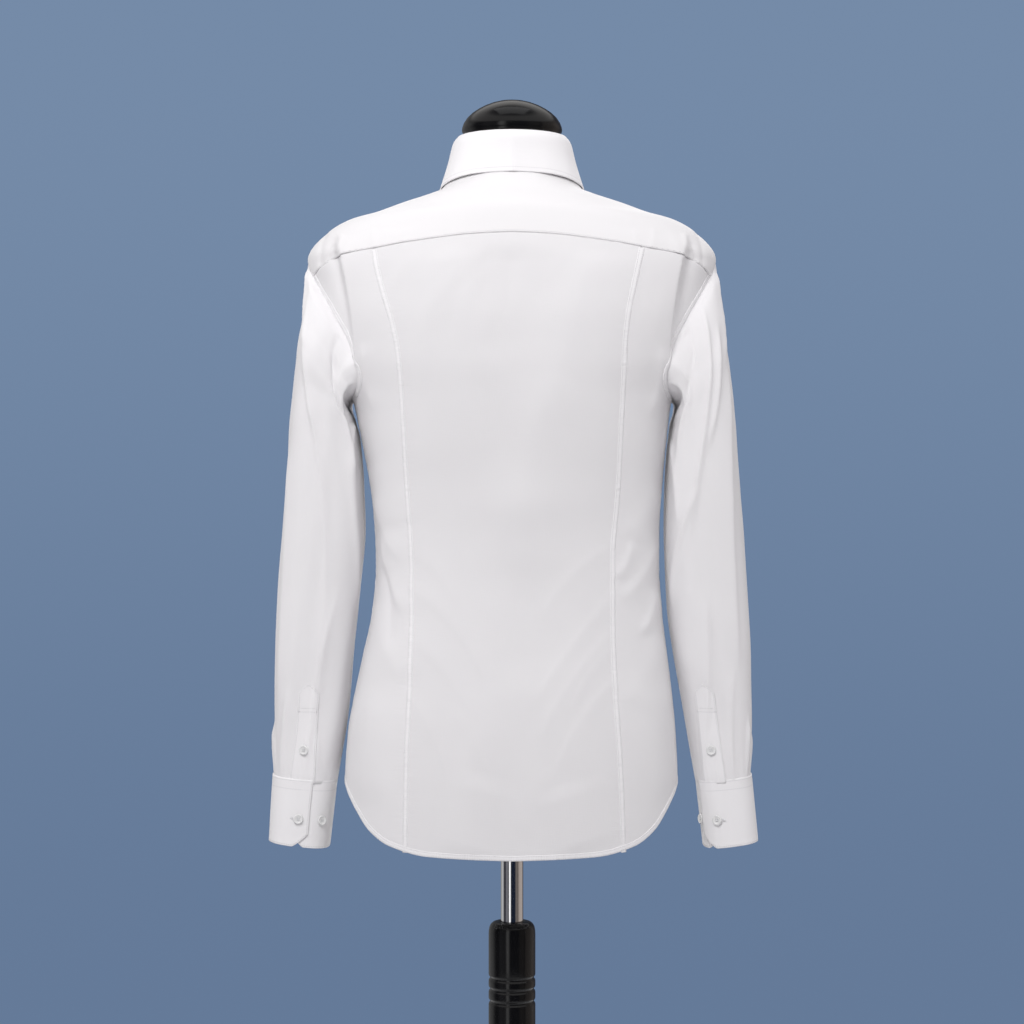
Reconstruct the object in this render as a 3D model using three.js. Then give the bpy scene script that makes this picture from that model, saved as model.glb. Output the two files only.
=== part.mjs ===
// A white long sleeve dress shirt worn by a limbless dress form on a round-based stand.
// Millimetres, +Z up, origin on the floor under the pole. The shirt's front faces -Y and the wearer's left is +X.
import * as THREE from "three";

// Driving sizes
const CLOTH = 1.5;
const BAND_CLOTH = 2.0;
const CUFF_CLOTH = 2.4;
const SEAM_GAP = 0.36;
const HALF_GAP = SEAM_GAP / 2;
const ARMPIT_RUN = 1100;
const SHOULDER_RUN = 1254;
const NECK_RUN = 1434;
const BACK_CORNER_RUN = 1232;
const FRONT_CORNER_RUN = 1240;
const NECK_SEAM_ANGLE = -40;
const LAP_HALF_WIDTH = 16;
const LAP_LIFT = 1.15;
const LAP_BLEND = 55;
const LOWER_ROWS = 9;
const UPPER_ROWS = 8;
const YOKE_SHARES = [0, 0.2, 0.42, 0.64, 0.8, 0.91, 1];
const YOKE_ROWS = YOKE_SHARES.length - 1;
const CENTRE_COLUMNS = 8;
const SIDE_COLUMNS = 6;
const FRONT_NECK_COLUMNS = 5;
const YOKE_ARM_STEPS = 4;
const BUTTON_RADIUS = 5.5;
const BUTTON_THICKNESS = 2.4;
const BUTTON_SIDES = 10;
const BUTTON_CLEARANCE = 0.35;
const POLE_RADIUS = 12.5;
const BORE_RADIUS = 13.2;
const POLE_SIDES = 24;
const POLE_BOTTOM = 230;
const POLE_TOP = 764;
const POCKET_TOP = 772;
const TORSO_BOTTOM = 700;
const COLUMN_TOP = 521;
const COLUMN_BOTTOM = 58.4;
const COLUMN_BORE_BOTTOM = 100;
const BASE_RADIUS = 180;
const FORM_SEAT = 2.5;

const DEGREE = Math.PI / 180;

// Sections of the worn body of the shirt. run is the distance up its side and over the shoulder.
// left and right are half widths, back and front are depths, rise and drop tilt the ring at centre back and front.
const BODY = [
  { run: 600, height: 600, left: 184, right: 183, back: 127, front: 128, rise: 0, drop: 0, power: 2.3 },
  { run: 680, height: 680, left: 184, right: 183, back: 126, front: 127, rise: 0, drop: 0, power: 2.3 },
  { run: 731, height: 731, left: 181, right: 181, back: 123, front: 125, rise: 0, drop: 0, power: 2.3 },
  { run: 800, height: 800, left: 168, right: 173, back: 115, front: 121, rise: 0, drop: 0, power: 2.3 },
  { run: 867, height: 867, left: 154, right: 165, back: 107, front: 118, rise: 0, drop: 0, power: 2.3 },
  { run: 914, height: 914, left: 150, right: 162, back: 103, front: 117, rise: 0, drop: 0, power: 2.3 },
  { run: 952, height: 952, left: 151, right: 162, back: 102, front: 117, rise: 0, drop: 0, power: 2.3 },
  { run: 1000, height: 1000, left: 156, right: 165, back: 105, front: 120, rise: 0, drop: 0, power: 2.3 },
  { run: 1054, height: 1054, left: 166, right: 171, back: 112, front: 126, rise: 0, drop: 0, power: 2.35 },
  { run: 1100, height: 1100, left: 176, right: 177, back: 117, front: 130, rise: 0, drop: 0, power: 2.4 },
  { run: 1140, height: 1140, left: 192, right: 192, back: 120, front: 128, rise: 0, drop: 0, power: 2.5 },
  { run: 1180, height: 1180, left: 205, right: 205, back: 121, front: 122, rise: 0, drop: 4, power: 2.5 },
  { run: 1220, height: 1220, left: 217, right: 217, back: 118, front: 113, rise: 1, drop: 12, power: 2.45 },
  { run: 1254, height: 1254, left: 225, right: 225, back: 112, front: 103, rise: 3, drop: 25, power: 2.4 },
  { run: 1276, height: 1274, left: 214, right: 214, back: 106, front: 97, rise: 6, drop: 34, power: 2.35 },
  { run: 1312, height: 1295, left: 184, right: 184, back: 98, front: 88, rise: 8, drop: 43, power: 2.3 },
  { run: 1340, height: 1303, left: 157, right: 157, back: 90, front: 81, rise: 10, drop: 40, power: 2.2 },
  { run: 1373, height: 1314, left: 126, right: 126, back: 81, front: 72, rise: 12, drop: 36, power: 2.15 },
  { run: 1397, height: 1321.5, left: 101, right: 101, back: 73, front: 65, rise: 14, drop: 36, power: 2.1 },
  { run: 1417, height: 1329, left: 81, right: 81, back: 66, front: 60, rise: 15, drop: 38, power: 2.05 },
  { run: 1434, height: 1350, left: 66, right: 66, back: 59, front: 56, rise: 4, drop: 50, power: 2.05 },
];

// The armhole cut, as how far the seam lies inside the ring's half width.
const ARMHOLE = [
  { run: 1100, back: 0, front: 0 },
  { run: 1112, back: 13, front: 16 },
  { run: 1130, back: 21, front: 26 },
  { run: 1156, back: 22, front: 27 },
  { run: 1188, back: 16, front: 21 },
  { run: 1220, back: 7, front: 10 },
  { run: 1232, back: 4, front: 6 },
  { run: 1254, back: 0, front: 0 },
];

// The two princess seams of the back, by their distance from the centre line.
const PRINCESS = [
  { run: 600, left: 114, right: 119 },
  { run: 711, left: 112.5, right: 114.5 },
  { run: 790, left: 109, right: 109.5 },
  { run: 859, left: 107.5, right: 107.5 },
  { run: 924, left: 108, right: 107.5 },
  { run: 996, left: 112.5, right: 113 },
  { run: 1068, left: 116.5, right: 116 },
  { run: 1123, left: 119.5, right: 118.5 },
  { run: 1152, left: 122.5, right: 119.5 },
  { run: 1180, left: 128.5, right: 122 },
  { run: 1207, left: 136.5, right: 127 },
  { run: 1235, left: 144, right: 133.5 },
  { run: 1262, left: 149, right: 140 },
];

// The back yoke seam, by angle from the side towards centre back.
const YOKE_SEAM = [
  { angle: 8, run: 1232 },
  { angle: 23, run: 1252 },
  { angle: 33, run: 1257 },
  { angle: 42, run: 1261.5 },
  { angle: 66, run: 1267 },
  { angle: 90, run: 1268.5 },
];

// The shirt-tail hem, by angle from the side seam.
const HEM_BACK = [
  { angle: 0, height: 678.5 },
  { angle: 8, height: 675 },
  { angle: 15, height: 664 },
  { angle: 21, height: 650 },
  { angle: 28, height: 632 },
  { angle: 37, height: 618.5 },
  { angle: 52, height: 610 },
  { angle: 90, height: 607 },
];
const HEM_FRONT = [
  { angle: 0, height: 678.5 },
  { angle: 8, height: 676 },
  { angle: 15, height: 668 },
  { angle: 22, height: 656 },
  { angle: 31, height: 643 },
  { angle: 45, height: 634 },
  { angle: 90, height: 630 },
];

// The soft vertical fold of the back beside each armhole: its crest line and how far the cloth outside it is set back.
const BACK_FOLD = [
  { run: 1085, crest: 168, depth: 0 },
  { run: 1115, crest: 169, depth: 7 },
  { run: 1160, crest: 172, depth: 11 },
  { run: 1207, crest: 177, depth: 11 },
  { run: 1240, crest: 185, depth: 7 },
  { run: 1266, crest: 191, depth: 0 },
];
const BACK_FOLD_SOFTNESS = 16;

// Sleeve rings from the armhole to the cuff, each between an outer and an inner point, with the half depth
// from front to back and the ring's middle.
const SLEEVE = [
  { ring: 0, outLeft: 225, outRight: 225, outHeight: 1254,
    inLeft: 176, inRight: 177, inHeight: 1100, depth: 73, middle: -6 },
  { ring: 1, outLeft: 227.5, outRight: 228, outHeight: 1236,
    inLeft: 179.5, inRight: 181, inHeight: 1096, depth: 73.5, middle: -6 },
  { ring: 2, outLeft: 231, outRight: 232, outHeight: 1204,
    inLeft: 181, inRight: 183, inHeight: 1091.5, depth: 73.5, middle: -6 },
  { ring: 3, outLeft: 236, outRight: 237, outHeight: 1164,
    inLeft: 181, inRight: 183.5, inHeight: 1085, depth: 73, middle: -6 },
  { ring: 4, outLeft: 241, outRight: 242, outHeight: 1122,
    inLeft: 179, inRight: 182.5, inHeight: 1075, depth: 71.5, middle: -7 },
  { ring: 5, outLeft: 246, outRight: 247.5, outHeight: 1072,
    inLeft: 175.5, inRight: 179.5, inHeight: 1055, depth: 69, middle: -8 },
  { ring: 6, outLeft: 250, outRight: 252, outHeight: 1016,
    inLeft: 168.5, inRight: 176, inHeight: 1012, depth: 65, middle: -9 },
  { ring: 7, outLeft: 255, outRight: 257, outHeight: 950,
    inLeft: 163.5, inRight: 172, inHeight: 950, depth: 59, middle: -10 },
  { ring: 8, outLeft: 260, outRight: 262, outHeight: 884,
    inLeft: 169.5, inRight: 172.5, inHeight: 884, depth: 54, middle: -12 },
  { ring: 9, outLeft: 263, outRight: 265.5, outHeight: 816,
    inLeft: 177, inRight: 180, inHeight: 816, depth: 50, middle: -13 },
  { ring: 10, outLeft: 264.3, outRight: 266.5, outHeight: 750,
    inLeft: 183, inRight: 192, inHeight: 750, depth: 46, middle: -15 },
  { ring: 11, outLeft: 265, outRight: 265, outHeight: 684.5,
    inLeft: 195.5, inRight: 205.5, inHeight: 678.5, depth: 43, middle: -16 },
];
const SLEEVE_RINGS = 16;
const ARMHOLE_FADE = 4;

// Soft lengthwise folds of the sleeves: angle round the sleeve from its outer edge towards the back, and where they run.
const SLEEVE_FOLDS = [
  { angle: 38, lift: 2.2, spread: 15, from: 2, to: 9 },
  { angle: 68, lift: -2.4, spread: 14, from: 1, to: 8 },
  { angle: 125, lift: 2.0, spread: 16, from: 4, to: 11 },
  { angle: -50, lift: 2.2, spread: 16, from: 2, to: 10 },
  { angle: -100, lift: -2.2, spread: 15, from: 3, to: 9 },
];

// Each cuff, from its top edge to its bottom edge.
const CUFF = [
  { level: 0, outLeft: 266.5, outRight: 267, outHeight: 684.1,
    inLeft: 195, inRight: 205, inHeight: 678.1, depth: 43.5, middle: -16 },
  { level: 1, outLeft: 270.8, outRight: 274.2, outHeight: 611,
    inLeft: 203.5, inRight: 213.5, inHeight: 603, depth: 42.5, middle: -17 },
];
const CUFF_LAP = 34;
const CUFF_LAP_LIFT = 1.5;
const CUFF_COLUMNS = 26;
const CUFF_ROWS = 4;
const CUFF_CUT_COLUMNS = 2;
const CUFF_CUT_HEIGHT = 15;

// The outline of the turned-down collar's lower edge, from the point round to centre back.
const COLLAR_EDGE = [
  { angle: -84, out: 42, along: -88, height: 1264 },
  { angle: -62, out: 62, along: -76, height: 1290 },
  { angle: -32, out: 78, along: -46, height: 1323 },
  { angle: 0, out: 81.3, along: -5, height: 1335 },
  { angle: 30, out: 72, along: 36, height: 1339 },
  { angle: 60, out: 43, along: 65, height: 1342.5 },
  { angle: 90, out: 0, along: 74.5, height: 1343.5 },
];
const STAND_TOP = 1384.6;
const STAND_TOP_DROP = 54;
const STAND_TOP_SIDE = 58.5;
const STAND_TOP_BACK = 56;
const STAND_TOP_FRONT = 51;
const STAND_LIFT = 0.55;
const STAND_LAP_ANGLE = 16;
const COLLAR_COLUMNS = 32;
const FOLD_RISE = 2;
const FOLD_RADIUS = 2.2;

const group = new THREE.Group();

const whiteCotton = () => new THREE.MeshStandardMaterial({ color: 0xf4f4f6, roughness: 0.85, metalness: 0 });
const whiteButton = () => new THREE.MeshStandardMaterial({ color: 0xf2f2f0, roughness: 0.3, metalness: 0 });
const formCover = () => new THREE.MeshStandardMaterial({ color: 0xe9e6e0, roughness: 0.8, metalness: 0 });
const blackGloss = () => new THREE.MeshStandardMaterial({ color: 0x0b0b0c, roughness: 0.2, metalness: 0 });
const chrome = () => new THREE.MeshStandardMaterial({ color: 0xc8cacc, roughness: 0.15, metalness: 1 });

function addPiece(name, geometry, material) {
  const piece = new THREE.Mesh(geometry, material);
  piece.name = name;
  group.add(piece);
  return piece;
}

// Smooth value of one column of a table whose rows are in order of key, by a cubic that doesn't overshoot.
function read(rows, key, at, column) {
  const last = rows.length - 1;
  const place = Math.min(Math.max(at, rows[0][key]), rows[last][key]);
  let i = 0;
  while (i < last - 1 && place > rows[i + 1][key]) i += 1;
  const secant = (k) => (rows[k + 1][column] - rows[k][column]) / (rows[k + 1][key] - rows[k][key]);
  const slope = (k) => {
    if (k === 0) return secant(0);
    if (k === last) return secant(last - 1);
    const before = secant(k - 1);
    const after = secant(k);
    return before * after <= 0 ? 0 : (2 * before * after) / (before + after);
  };
  const span = rows[i + 1][key] - rows[i][key];
  const t = (place - rows[i][key]) / span;
  const a = rows[i][column];
  const b = rows[i + 1][column];
  const ma = slope(i) * span;
  const mb = slope(i + 1) * span;
  return a + t * (ma + t * (3 * (b - a) - 2 * ma - mb + t * (2 * (a - b) + ma + mb)));
}

const mix = (a, b, t) => a + (b - a) * t;

function smooth(t) {
  const s = Math.min(Math.max(t, 0), 1);
  return s * s * (3 - 2 * s);
}

// A point of the worn body of the shirt, by angle from the wearer's left side towards the back, in degrees.
function bodyPoint(angle, run) {
  const c = Math.cos(angle * DEGREE);
  const s = Math.sin(angle * DEGREE);
  const power = read(BODY, "run", run, "power");
  const width = read(BODY, "run", run, c >= 0 ? "left" : "right");
  const depth = read(BODY, "run", run, s >= 0 ? "back" : "front");
  const tilt = s >= 0 ? read(BODY, "run", run, "rise") : -read(BODY, "run", run, "drop");
  const reach = (Math.abs(c / width) ** power + Math.abs(s / depth) ** power) ** (-1 / power);
  const point = new THREE.Vector3(reach * c, reach * s, read(BODY, "run", run, "height") + tilt * s * s);
  if (s > 0 && run > BACK_FOLD[0].run && run < BACK_FOLD[BACK_FOLD.length - 1].run) {
    const past = Math.abs(point.x) - read(BACK_FOLD, "run", run, "crest");
    point.y -= read(BACK_FOLD, "run", run, "depth") * smooth(past / BACK_FOLD_SOFTNESS);
  }
  return point;
}

function bodyNormal(angle, run) {
  const across = bodyPoint(angle + 1, run).sub(bodyPoint(angle - 1, run));
  const up = bodyPoint(angle, Math.min(run + 2, NECK_RUN)).sub(bodyPoint(angle, run - 2));
  return across.cross(up).normalize();
}

// The angle at which a ring of the body is the given distance from the centre line.
function angleAt(distance, run, face, side) {
  const power = read(BODY, "run", run, "power");
  const width = read(BODY, "run", run, side > 0 ? "left" : "right");
  const depth = read(BODY, "run", run, face);
  const share = Math.min(Math.abs(distance) / width, 1);
  const along = depth * (1 - share ** power) ** (1 / power);
  const angle = Math.atan2(along, Math.abs(distance)) / DEGREE;
  return face === "back" ? angle : -angle;
}

// The armhole seam of the left side: turn goes from 180 at the armpit to 0 at the shoulder point.
function armhole(turn, face) {
  const run = mix(ARMPIT_RUN, SHOULDER_RUN, (1 + Math.cos(turn * DEGREE)) / 2);
  const width = read(BODY, "run", run, "left");
  const angle = angleAt(width - read(ARMHOLE, "run", run, face), run, face, 1);
  return { angle, run };
}

const cornerTurn = (run) => Math.acos((2 * (run - ARMPIT_RUN)) / (SHOULDER_RUN - ARMPIT_RUN) - 1) / DEGREE;
const BACK_CORNER_TURN = cornerTurn(BACK_CORNER_RUN);
const FRONT_CORNER_TURN = cornerTurn(FRONT_CORNER_RUN);

const princess = (run, side) => ({
  angle: angleAt(read(PRINCESS, "run", run, side > 0 ? "left" : "right"), run, "back", side),
  run,
});

function princessTop(side) {
  let run = SHOULDER_RUN;
  for (let k = 0; k < 6; k += 1) run = read(YOKE_SEAM, "angle", princess(run, side).angle, "run");
  return run;
}

function hemRun(angle) {
  return angle >= 0 ? read(HEM_BACK, "angle", angle, "height") : read(HEM_FRONT, "angle", -angle, "height");
}

const between = (a, b, t) => ({ angle: mix(a.angle, b.angle, t), run: mix(a.run, b.run, t) });

// A patch of the body between four seams, each a function from 0 to 1 that gives an angle and a run.
function patch(u, v, bottom, top, near, far) {
  const corner = (k) => {
    const ends = [bottom(0), bottom(1), top(0), top(1)];
    const low = mix(ends[0][k], ends[1][k], u);
    const high = mix(ends[2][k], ends[3][k], u);
    return mix(low, high, v);
  };
  const value = (k) => mix(bottom(u)[k], top(u)[k], v) + mix(near(v)[k], far(v)[k], u) - corner(k);
  return { angle: value("angle"), run: value("run") };
}

// Points of a panel on the left side. Each edge function takes a share from 0 to 1.
function panelPlaces(columns, shape) {
  const places = [];
  for (let j = 0; j <= LOWER_ROWS; j += 1) {
    const v = j / LOWER_ROWS;
    places.push(columns.map((u) => {
      let angle = shape.middle(u).angle;
      let run = ARMPIT_RUN;
      for (let k = 0; k < 5; k += 1) {
        run = mix(hemRun(angle), ARMPIT_RUN, v);
        angle = mix(shape.nearSeam(run).angle, shape.farSeam(run).angle, u);
      }
      return { angle, run };
    }));
  }
  for (let j = 1; j <= UPPER_ROWS; j += 1) {
    const v = j / UPPER_ROWS;
    places.push(columns.map((u) => patch(u, v, shape.middle, shape.top, shape.near, shape.far)));
  }
  return places;
}

const even = (count) => Array.from({ length: count + 1 }, (_, i) => i / count);
const mirrored = (place) => ({ angle: 180 - place.angle, run: place.run });

// Turns a place on the left side into one on the wanted side.
const onSide = (place, side) => (side > 0 ? place : mirrored(place));

function seamSide(side) {
  const top = princessTop(side);
  const seam = (run) => princess(run, side);
  return {
    nearSeam: seam,
    farSeam: (run) => ({ angle: 0, run }),
    middle: (u) => ({ angle: mix(seam(ARMPIT_RUN).angle, 0, u), run: ARMPIT_RUN }),
    near: (v) => seam(mix(ARMPIT_RUN, top, v)),
    far: (v) => armhole(mix(180, BACK_CORNER_TURN, v), "back"),
    top: (u) => {
      const angle = mix(seam(top).angle, armhole(BACK_CORNER_TURN, "back").angle, u);
      return { angle, run: u === 1 ? BACK_CORNER_RUN : read(YOKE_SEAM, "angle", angle, "run") };
    },
  };
}

// The grid of outer points of a panel, with the direction outwards at each.
function surfaceGrid(places, lift = () => 0) {
  return places.map((row) => row.map((place) => {
    const normal = bodyNormal(place.angle, place.run);
    const point = bodyPoint(place.angle, place.run);
    point.addScaledVector(normal, lift(point, place));
    return { point, normal };
  }));
}

// Draws the edges of a grid in by half a seam gap.
function trim(grid, edges, amount = HALF_GAP) {
  const rows = grid.length;
  const columns = grid[0].length;
  const moves = [];
  const step = { bottom: [1, 0], top: [-1, 0], near: [0, 1], far: [0, -1] };
  for (const edge of edges) {
    const [dj, di] = step[edge];
    const fixed = { bottom: 0, top: rows - 1, near: 0, far: columns - 1 }[edge];
    const count = dj ? columns : rows;
    for (let k = 0; k < count; k += 1) {
      const j = dj ? fixed : k;
      const i = dj ? k : fixed;
      const here = grid[j][i].point;
      const next = grid[j + dj][i + di].point;
      const before = grid[Math.max(j - di * di, 0)][Math.max(i - dj * dj, 0)].point;
      const after = grid[Math.min(j + di * di, rows - 1)][Math.min(i + dj * dj, columns - 1)].point;
      const along = after.clone().sub(before).normalize();
      const inwards = next.clone().sub(here);
      inwards.addScaledVector(along, -inwards.dot(along)).normalize();
      moves.push([here, inwards.multiplyScalar(amount)]);
    }
  }
  for (const [here, move] of moves) here.add(move);
  return grid;
}

// A closed wall between a grid of outer points and the same grid moved in by a thickness.
function wall(grid, thickness, closed = false, lift = 0) {
  const rows = grid.length;
  const columns = grid[0].length;
  const positions = [];
  const place = (cell, out) => {
    const p = cell.point.clone().addScaledVector(cell.normal, out);
    positions.push(p.x, p.y, p.z);
  };
  grid.forEach((row) => row.forEach((cell) => place(cell, lift)));
  grid.forEach((row) => row.forEach((cell) => place(cell, lift - thickness)));
  const inner = rows * columns;
  const index = [];
  const quad = (a, b, c, d) => index.push(a, b, c, a, c, d);
  const steps = closed ? columns : columns - 1;
  const at = (j, i) => j * columns + (i % columns);
  for (let j = 0; j < rows - 1; j += 1) {
    for (let i = 0; i < steps; i += 1) {
      quad(at(j, i), at(j, i + 1), at(j + 1, i + 1), at(j + 1, i));
      quad(inner + at(j, i), inner + at(j + 1, i), inner + at(j + 1, i + 1), inner + at(j, i + 1));
    }
  }
  for (let i = 0; i < steps; i += 1) {
    quad(at(0, i), inner + at(0, i), inner + at(0, i + 1), at(0, i + 1));
    quad(at(rows - 1, i), at(rows - 1, i + 1), inner + at(rows - 1, i + 1), inner + at(rows - 1, i));
  }
  if (!closed) {
    for (let j = 0; j < rows - 1; j += 1) {
      quad(at(j, 0), at(j + 1, 0), inner + at(j + 1, 0), inner + at(j, 0));
      const end = columns - 1;
      quad(at(j, end), inner + at(j, end), inner + at(j + 1, end), at(j + 1, end));
    }
  }
  return solid(positions, index);
}

// A geometry from points and triangles, turned so that its faces point outwards.
function solid(positions, index) {
  const corner = (k) => new THREE.Vector3().fromArray(positions, 3 * index[k]);
  let volume = 0;
  for (let k = 0; k < index.length; k += 3) volume += corner(k).dot(corner(k + 1).cross(corner(k + 2)));
  if (volume < 0) index.reverse();
  const geometry = new THREE.BufferGeometry();
  geometry.setAttribute("position", new THREE.Float32BufferAttribute(positions, 3));
  geometry.setIndex(index);
  geometry.computeVertexNormals();
  return geometry;
}

// Closed rings stacked in order, from one middle point to the other.
function ringStack(start, rings, end) {
  const sides = rings[0].length;
  const positions = [...start.toArray(), ...rings.flat().flatMap((p) => p.toArray()), ...end.toArray()];
  const index = [];
  const at = (j, i) => 1 + j * sides + (i % sides);
  const last = rings.length * sides + 1;
  for (let i = 0; i < sides; i += 1) {
    index.push(0, at(0, i + 1), at(0, i));
    index.push(last, at(rings.length - 1, i), at(rings.length - 1, i + 1));
    for (let j = 0; j < rings.length - 1; j += 1) {
      index.push(at(j, i), at(j, i + 1), at(j + 1, i + 1), at(j, i), at(j + 1, i + 1), at(j + 1, i));
    }
  }
  return solid(positions, index);
}

// Back panels
function backCentre() {
  const left = (run) => princess(run, 1);
  const right = (run) => mirrored(princess(run, -1));
  const tops = [princessTop(1), princessTop(-1)];
  const shape = {
    middle: (u) => between(left(ARMPIT_RUN), right(ARMPIT_RUN), u),
    near: (v) => left(mix(ARMPIT_RUN, tops[0], v)),
    far: (v) => right(mix(ARMPIT_RUN, tops[1], v)),
    top: (u) => {
      const angle = mix(left(tops[0]).angle, right(tops[1]).angle, u);
      return { angle, run: read(YOKE_SEAM, "angle", Math.min(angle, 180 - angle), "run") };
    },
  };
  const places = [];
  for (let j = 0; j <= LOWER_ROWS + UPPER_ROWS; j += 1) {
    places.push(even(CENTRE_COLUMNS).map((u) => {
      if (j > LOWER_ROWS) {
        const v = (j - LOWER_ROWS) / UPPER_ROWS;
        return patch(u, v, shape.middle, shape.top, shape.near, shape.far);
      }
      let place = shape.middle(u);
      for (let k = 0; k < 5; k += 1) {
        const run = mix(hemRun(Math.min(place.angle, 180 - place.angle)), ARMPIT_RUN, j / LOWER_ROWS);
        place = between(left(run), right(run), u);
      }
      return place;
    }));
  }
  return trim(surfaceGrid(places), ["near", "far", "top"]);
}
addPiece("back_centre", wall(backCentre(), CLOTH), whiteCotton());

const sideName = (side) => (side > 0 ? "left" : "right");
for (const side of [1, -1]) {
  const places = panelPlaces(even(SIDE_COLUMNS), seamSide(side)).map((row) => row.map((p) => onSide(p, side)));
  const grid = trim(surfaceGrid(places), ["near", "far", "top"]);
  addPiece("back_side_" + sideName(side), wall(grid, CLOTH), whiteCotton());
}

// Fronts: the wearer's left front laps over the right one at the centre.
const FRONT_COLUMNS = FRONT_NECK_COLUMNS + YOKE_ROWS;
const frontCorner = armhole(FRONT_CORNER_TURN, "front");
const neckCorner = { angle: NECK_SEAM_ANGLE, run: NECK_RUN };

// The place on the front at a distance from the centre line, towards the wearer's left if above 0.
function frontPlace(distance, run) {
  const angle = angleAt(Math.abs(distance), run, "front", 1);
  return { angle: distance >= 0 ? angle : -180 - angle, run };
}

const NECK_SHARE = FRONT_NECK_COLUMNS / FRONT_COLUMNS;

// Along the top of a front: the neckline first, then the yoke seam, whose points match the yoke's rows.
function frontTop(u) {
  if (u <= NECK_SHARE) return between(frontPlace(LAP_HALF_WIDTH, NECK_RUN), neckCorner, u / NECK_SHARE);
  const row = YOKE_ROWS - Math.round((u - NECK_SHARE) * FRONT_COLUMNS);
  return between(frontCorner, neckCorner, YOKE_SHARES[row]);
}
const neckwards = (v) => v * (1.25 - 0.25 * v);

function frontPlaces() {
  const rows = [];
  const bottom = (u) => between(frontPlace(LAP_HALF_WIDTH, ARMPIT_RUN), { angle: 0, run: ARMPIT_RUN }, u);
  const near = (v) => frontPlace(LAP_HALF_WIDTH, mix(ARMPIT_RUN, NECK_RUN, neckwards(v)));
  const far = (v) => armhole(mix(180, FRONT_CORNER_TURN, v), "front");
  for (let j = 0; j <= LOWER_ROWS + UPPER_ROWS; j += 1) {
    const v = j <= LOWER_ROWS ? j / LOWER_ROWS : (j - LOWER_ROWS) / UPPER_ROWS;
    const lower = j <= LOWER_ROWS;
    const lapRun = lower ? mix(hemRun(-90), ARMPIT_RUN, v) : mix(ARMPIT_RUN, NECK_RUN, neckwards(v));
    const row = [-LAP_HALF_WIDTH, 0].map((distance) => frontPlace(distance, lapRun));
    for (const u of even(FRONT_COLUMNS)) {
      if (!lower) {
        row.push(patch(u, v, bottom, frontTop, near, far));
      } else {
        let place = bottom(u);
        for (let k = 0; k < 5; k += 1) {
          const run = mix(hemRun(place.angle), ARMPIT_RUN, v);
          place = between(frontPlace(LAP_HALF_WIDTH, run), { angle: 0, run }, u);
        }
        row.push(place);
      }
    }
    rows.push(row);
  }
  return rows;
}

const frontGrids = {};
for (const side of [1, -1]) {
  const lift = (point) => side * LAP_LIFT * (1 - smooth((Math.abs(point.x) - LAP_HALF_WIDTH) / LAP_BLEND));
  const places = frontPlaces().map((row) => row.map((place) => onSide(place, side)));
  const grid = trim(surfaceGrid(places, lift), ["far", "top"]);
  frontGrids[side] = grid;
  addPiece("front_" + sideName(side), wall(grid, CLOTH), whiteCotton());
}

// The placket is a strip on the lapping edge of the left front, made from its points.
const PLACKET_COLUMNS = 3;
const PLACKET_CLOTH = 1.0;
const placketGrid = frontGrids[1].map((row) => row.slice(0, PLACKET_COLUMNS).map((cell) => ({ ...cell })));
const placketLift = SEAM_GAP + PLACKET_CLOTH;
addPiece("front_placket", wall(placketGrid, PLACKET_CLOTH, false, placketLift), whiteCotton());

// Yoke: columns fan from the armholes and the back yoke seam to the neckline.
const YOKE_NECK = [
  { column: 0, angle: NECK_SEAM_ANGLE },
  { column: 2, angle: -6 },
  { column: 4, angle: 14 },
  { column: 10, angle: 58 },
];
function yokeHalf(side) {
  const half = YOKE_ARM_STEPS / 2;
  const low = [];
  for (let i = 0; i < half; i += 1) low.push(armhole(FRONT_CORNER_TURN * (1 - i / half), "front"));
  for (let i = 0; i < half; i += 1) low.push(armhole(BACK_CORNER_TURN * (i / half), "back"));
  const seam = seamSide(side).top;
  for (let i = 0; i <= SIDE_COLUMNS; i += 1) low.push(seam(1 - i / SIDE_COLUMNS));
  return low.map((place, column) => ({
    low: onSide(place, side),
    high: onSide({ angle: read(YOKE_NECK, "column", column, "angle"), run: NECK_RUN }, side),
  }));
}
function yokeGrid() {
  const left = yokeHalf(1);
  const right = yokeHalf(-1).reverse();
  const from = left[left.length - 1];
  const to = right[0];
  const columns = [...left];
  for (let i = 1; i < CENTRE_COLUMNS; i += 1) {
    const angle = mix(from.low.angle, to.low.angle, i / CENTRE_COLUMNS);
    const run = read(YOKE_SEAM, "angle", Math.min(angle, 180 - angle), "run");
    columns.push({ low: { angle, run }, high: between(from.high, to.high, i / CENTRE_COLUMNS) });
  }
  columns.push(...right);
  return YOKE_SHARES.map((v) => columns.map((column) => between(column.low, column.high, v)));
}
const yoke = trim(surfaceGrid(yokeGrid()), ["bottom", "near", "far"]);
addPiece("yoke", wall(yoke, CLOTH), whiteCotton());

// Outward directions of a grid that closes on itself from column to column.
function tubeNormals(points) {
  const rows = points.length;
  const columns = points[0].length;
  return points.map((row, j) => row.map((point, i) => {
    const around = row[(i + 1) % columns].clone().sub(row[(i + columns - 1) % columns]);
    const along = points[Math.min(j + 1, rows - 1)][i].clone().sub(points[Math.max(j - 1, 0)][i]);
    return around.cross(along).normalize();
  }));
}

// Stations round the armhole, which match the edges of the panels that meet there.
function armholeStations() {
  const half = YOKE_ARM_STEPS / 2;
  const turns = [];
  for (let j = 0; j < UPPER_ROWS; j += 1) turns.push(mix(180, BACK_CORNER_TURN, j / UPPER_ROWS));
  for (let i = 0; i < half; i += 1) turns.push(BACK_CORNER_TURN * (1 - i / half));
  for (let i = 0; i < half; i += 1) turns.push(-FRONT_CORNER_TURN * (i / half));
  for (let j = 0; j < UPPER_ROWS; j += 1) turns.push(-mix(FRONT_CORNER_TURN, 180, j / UPPER_ROWS));
  return turns;
}

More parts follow.
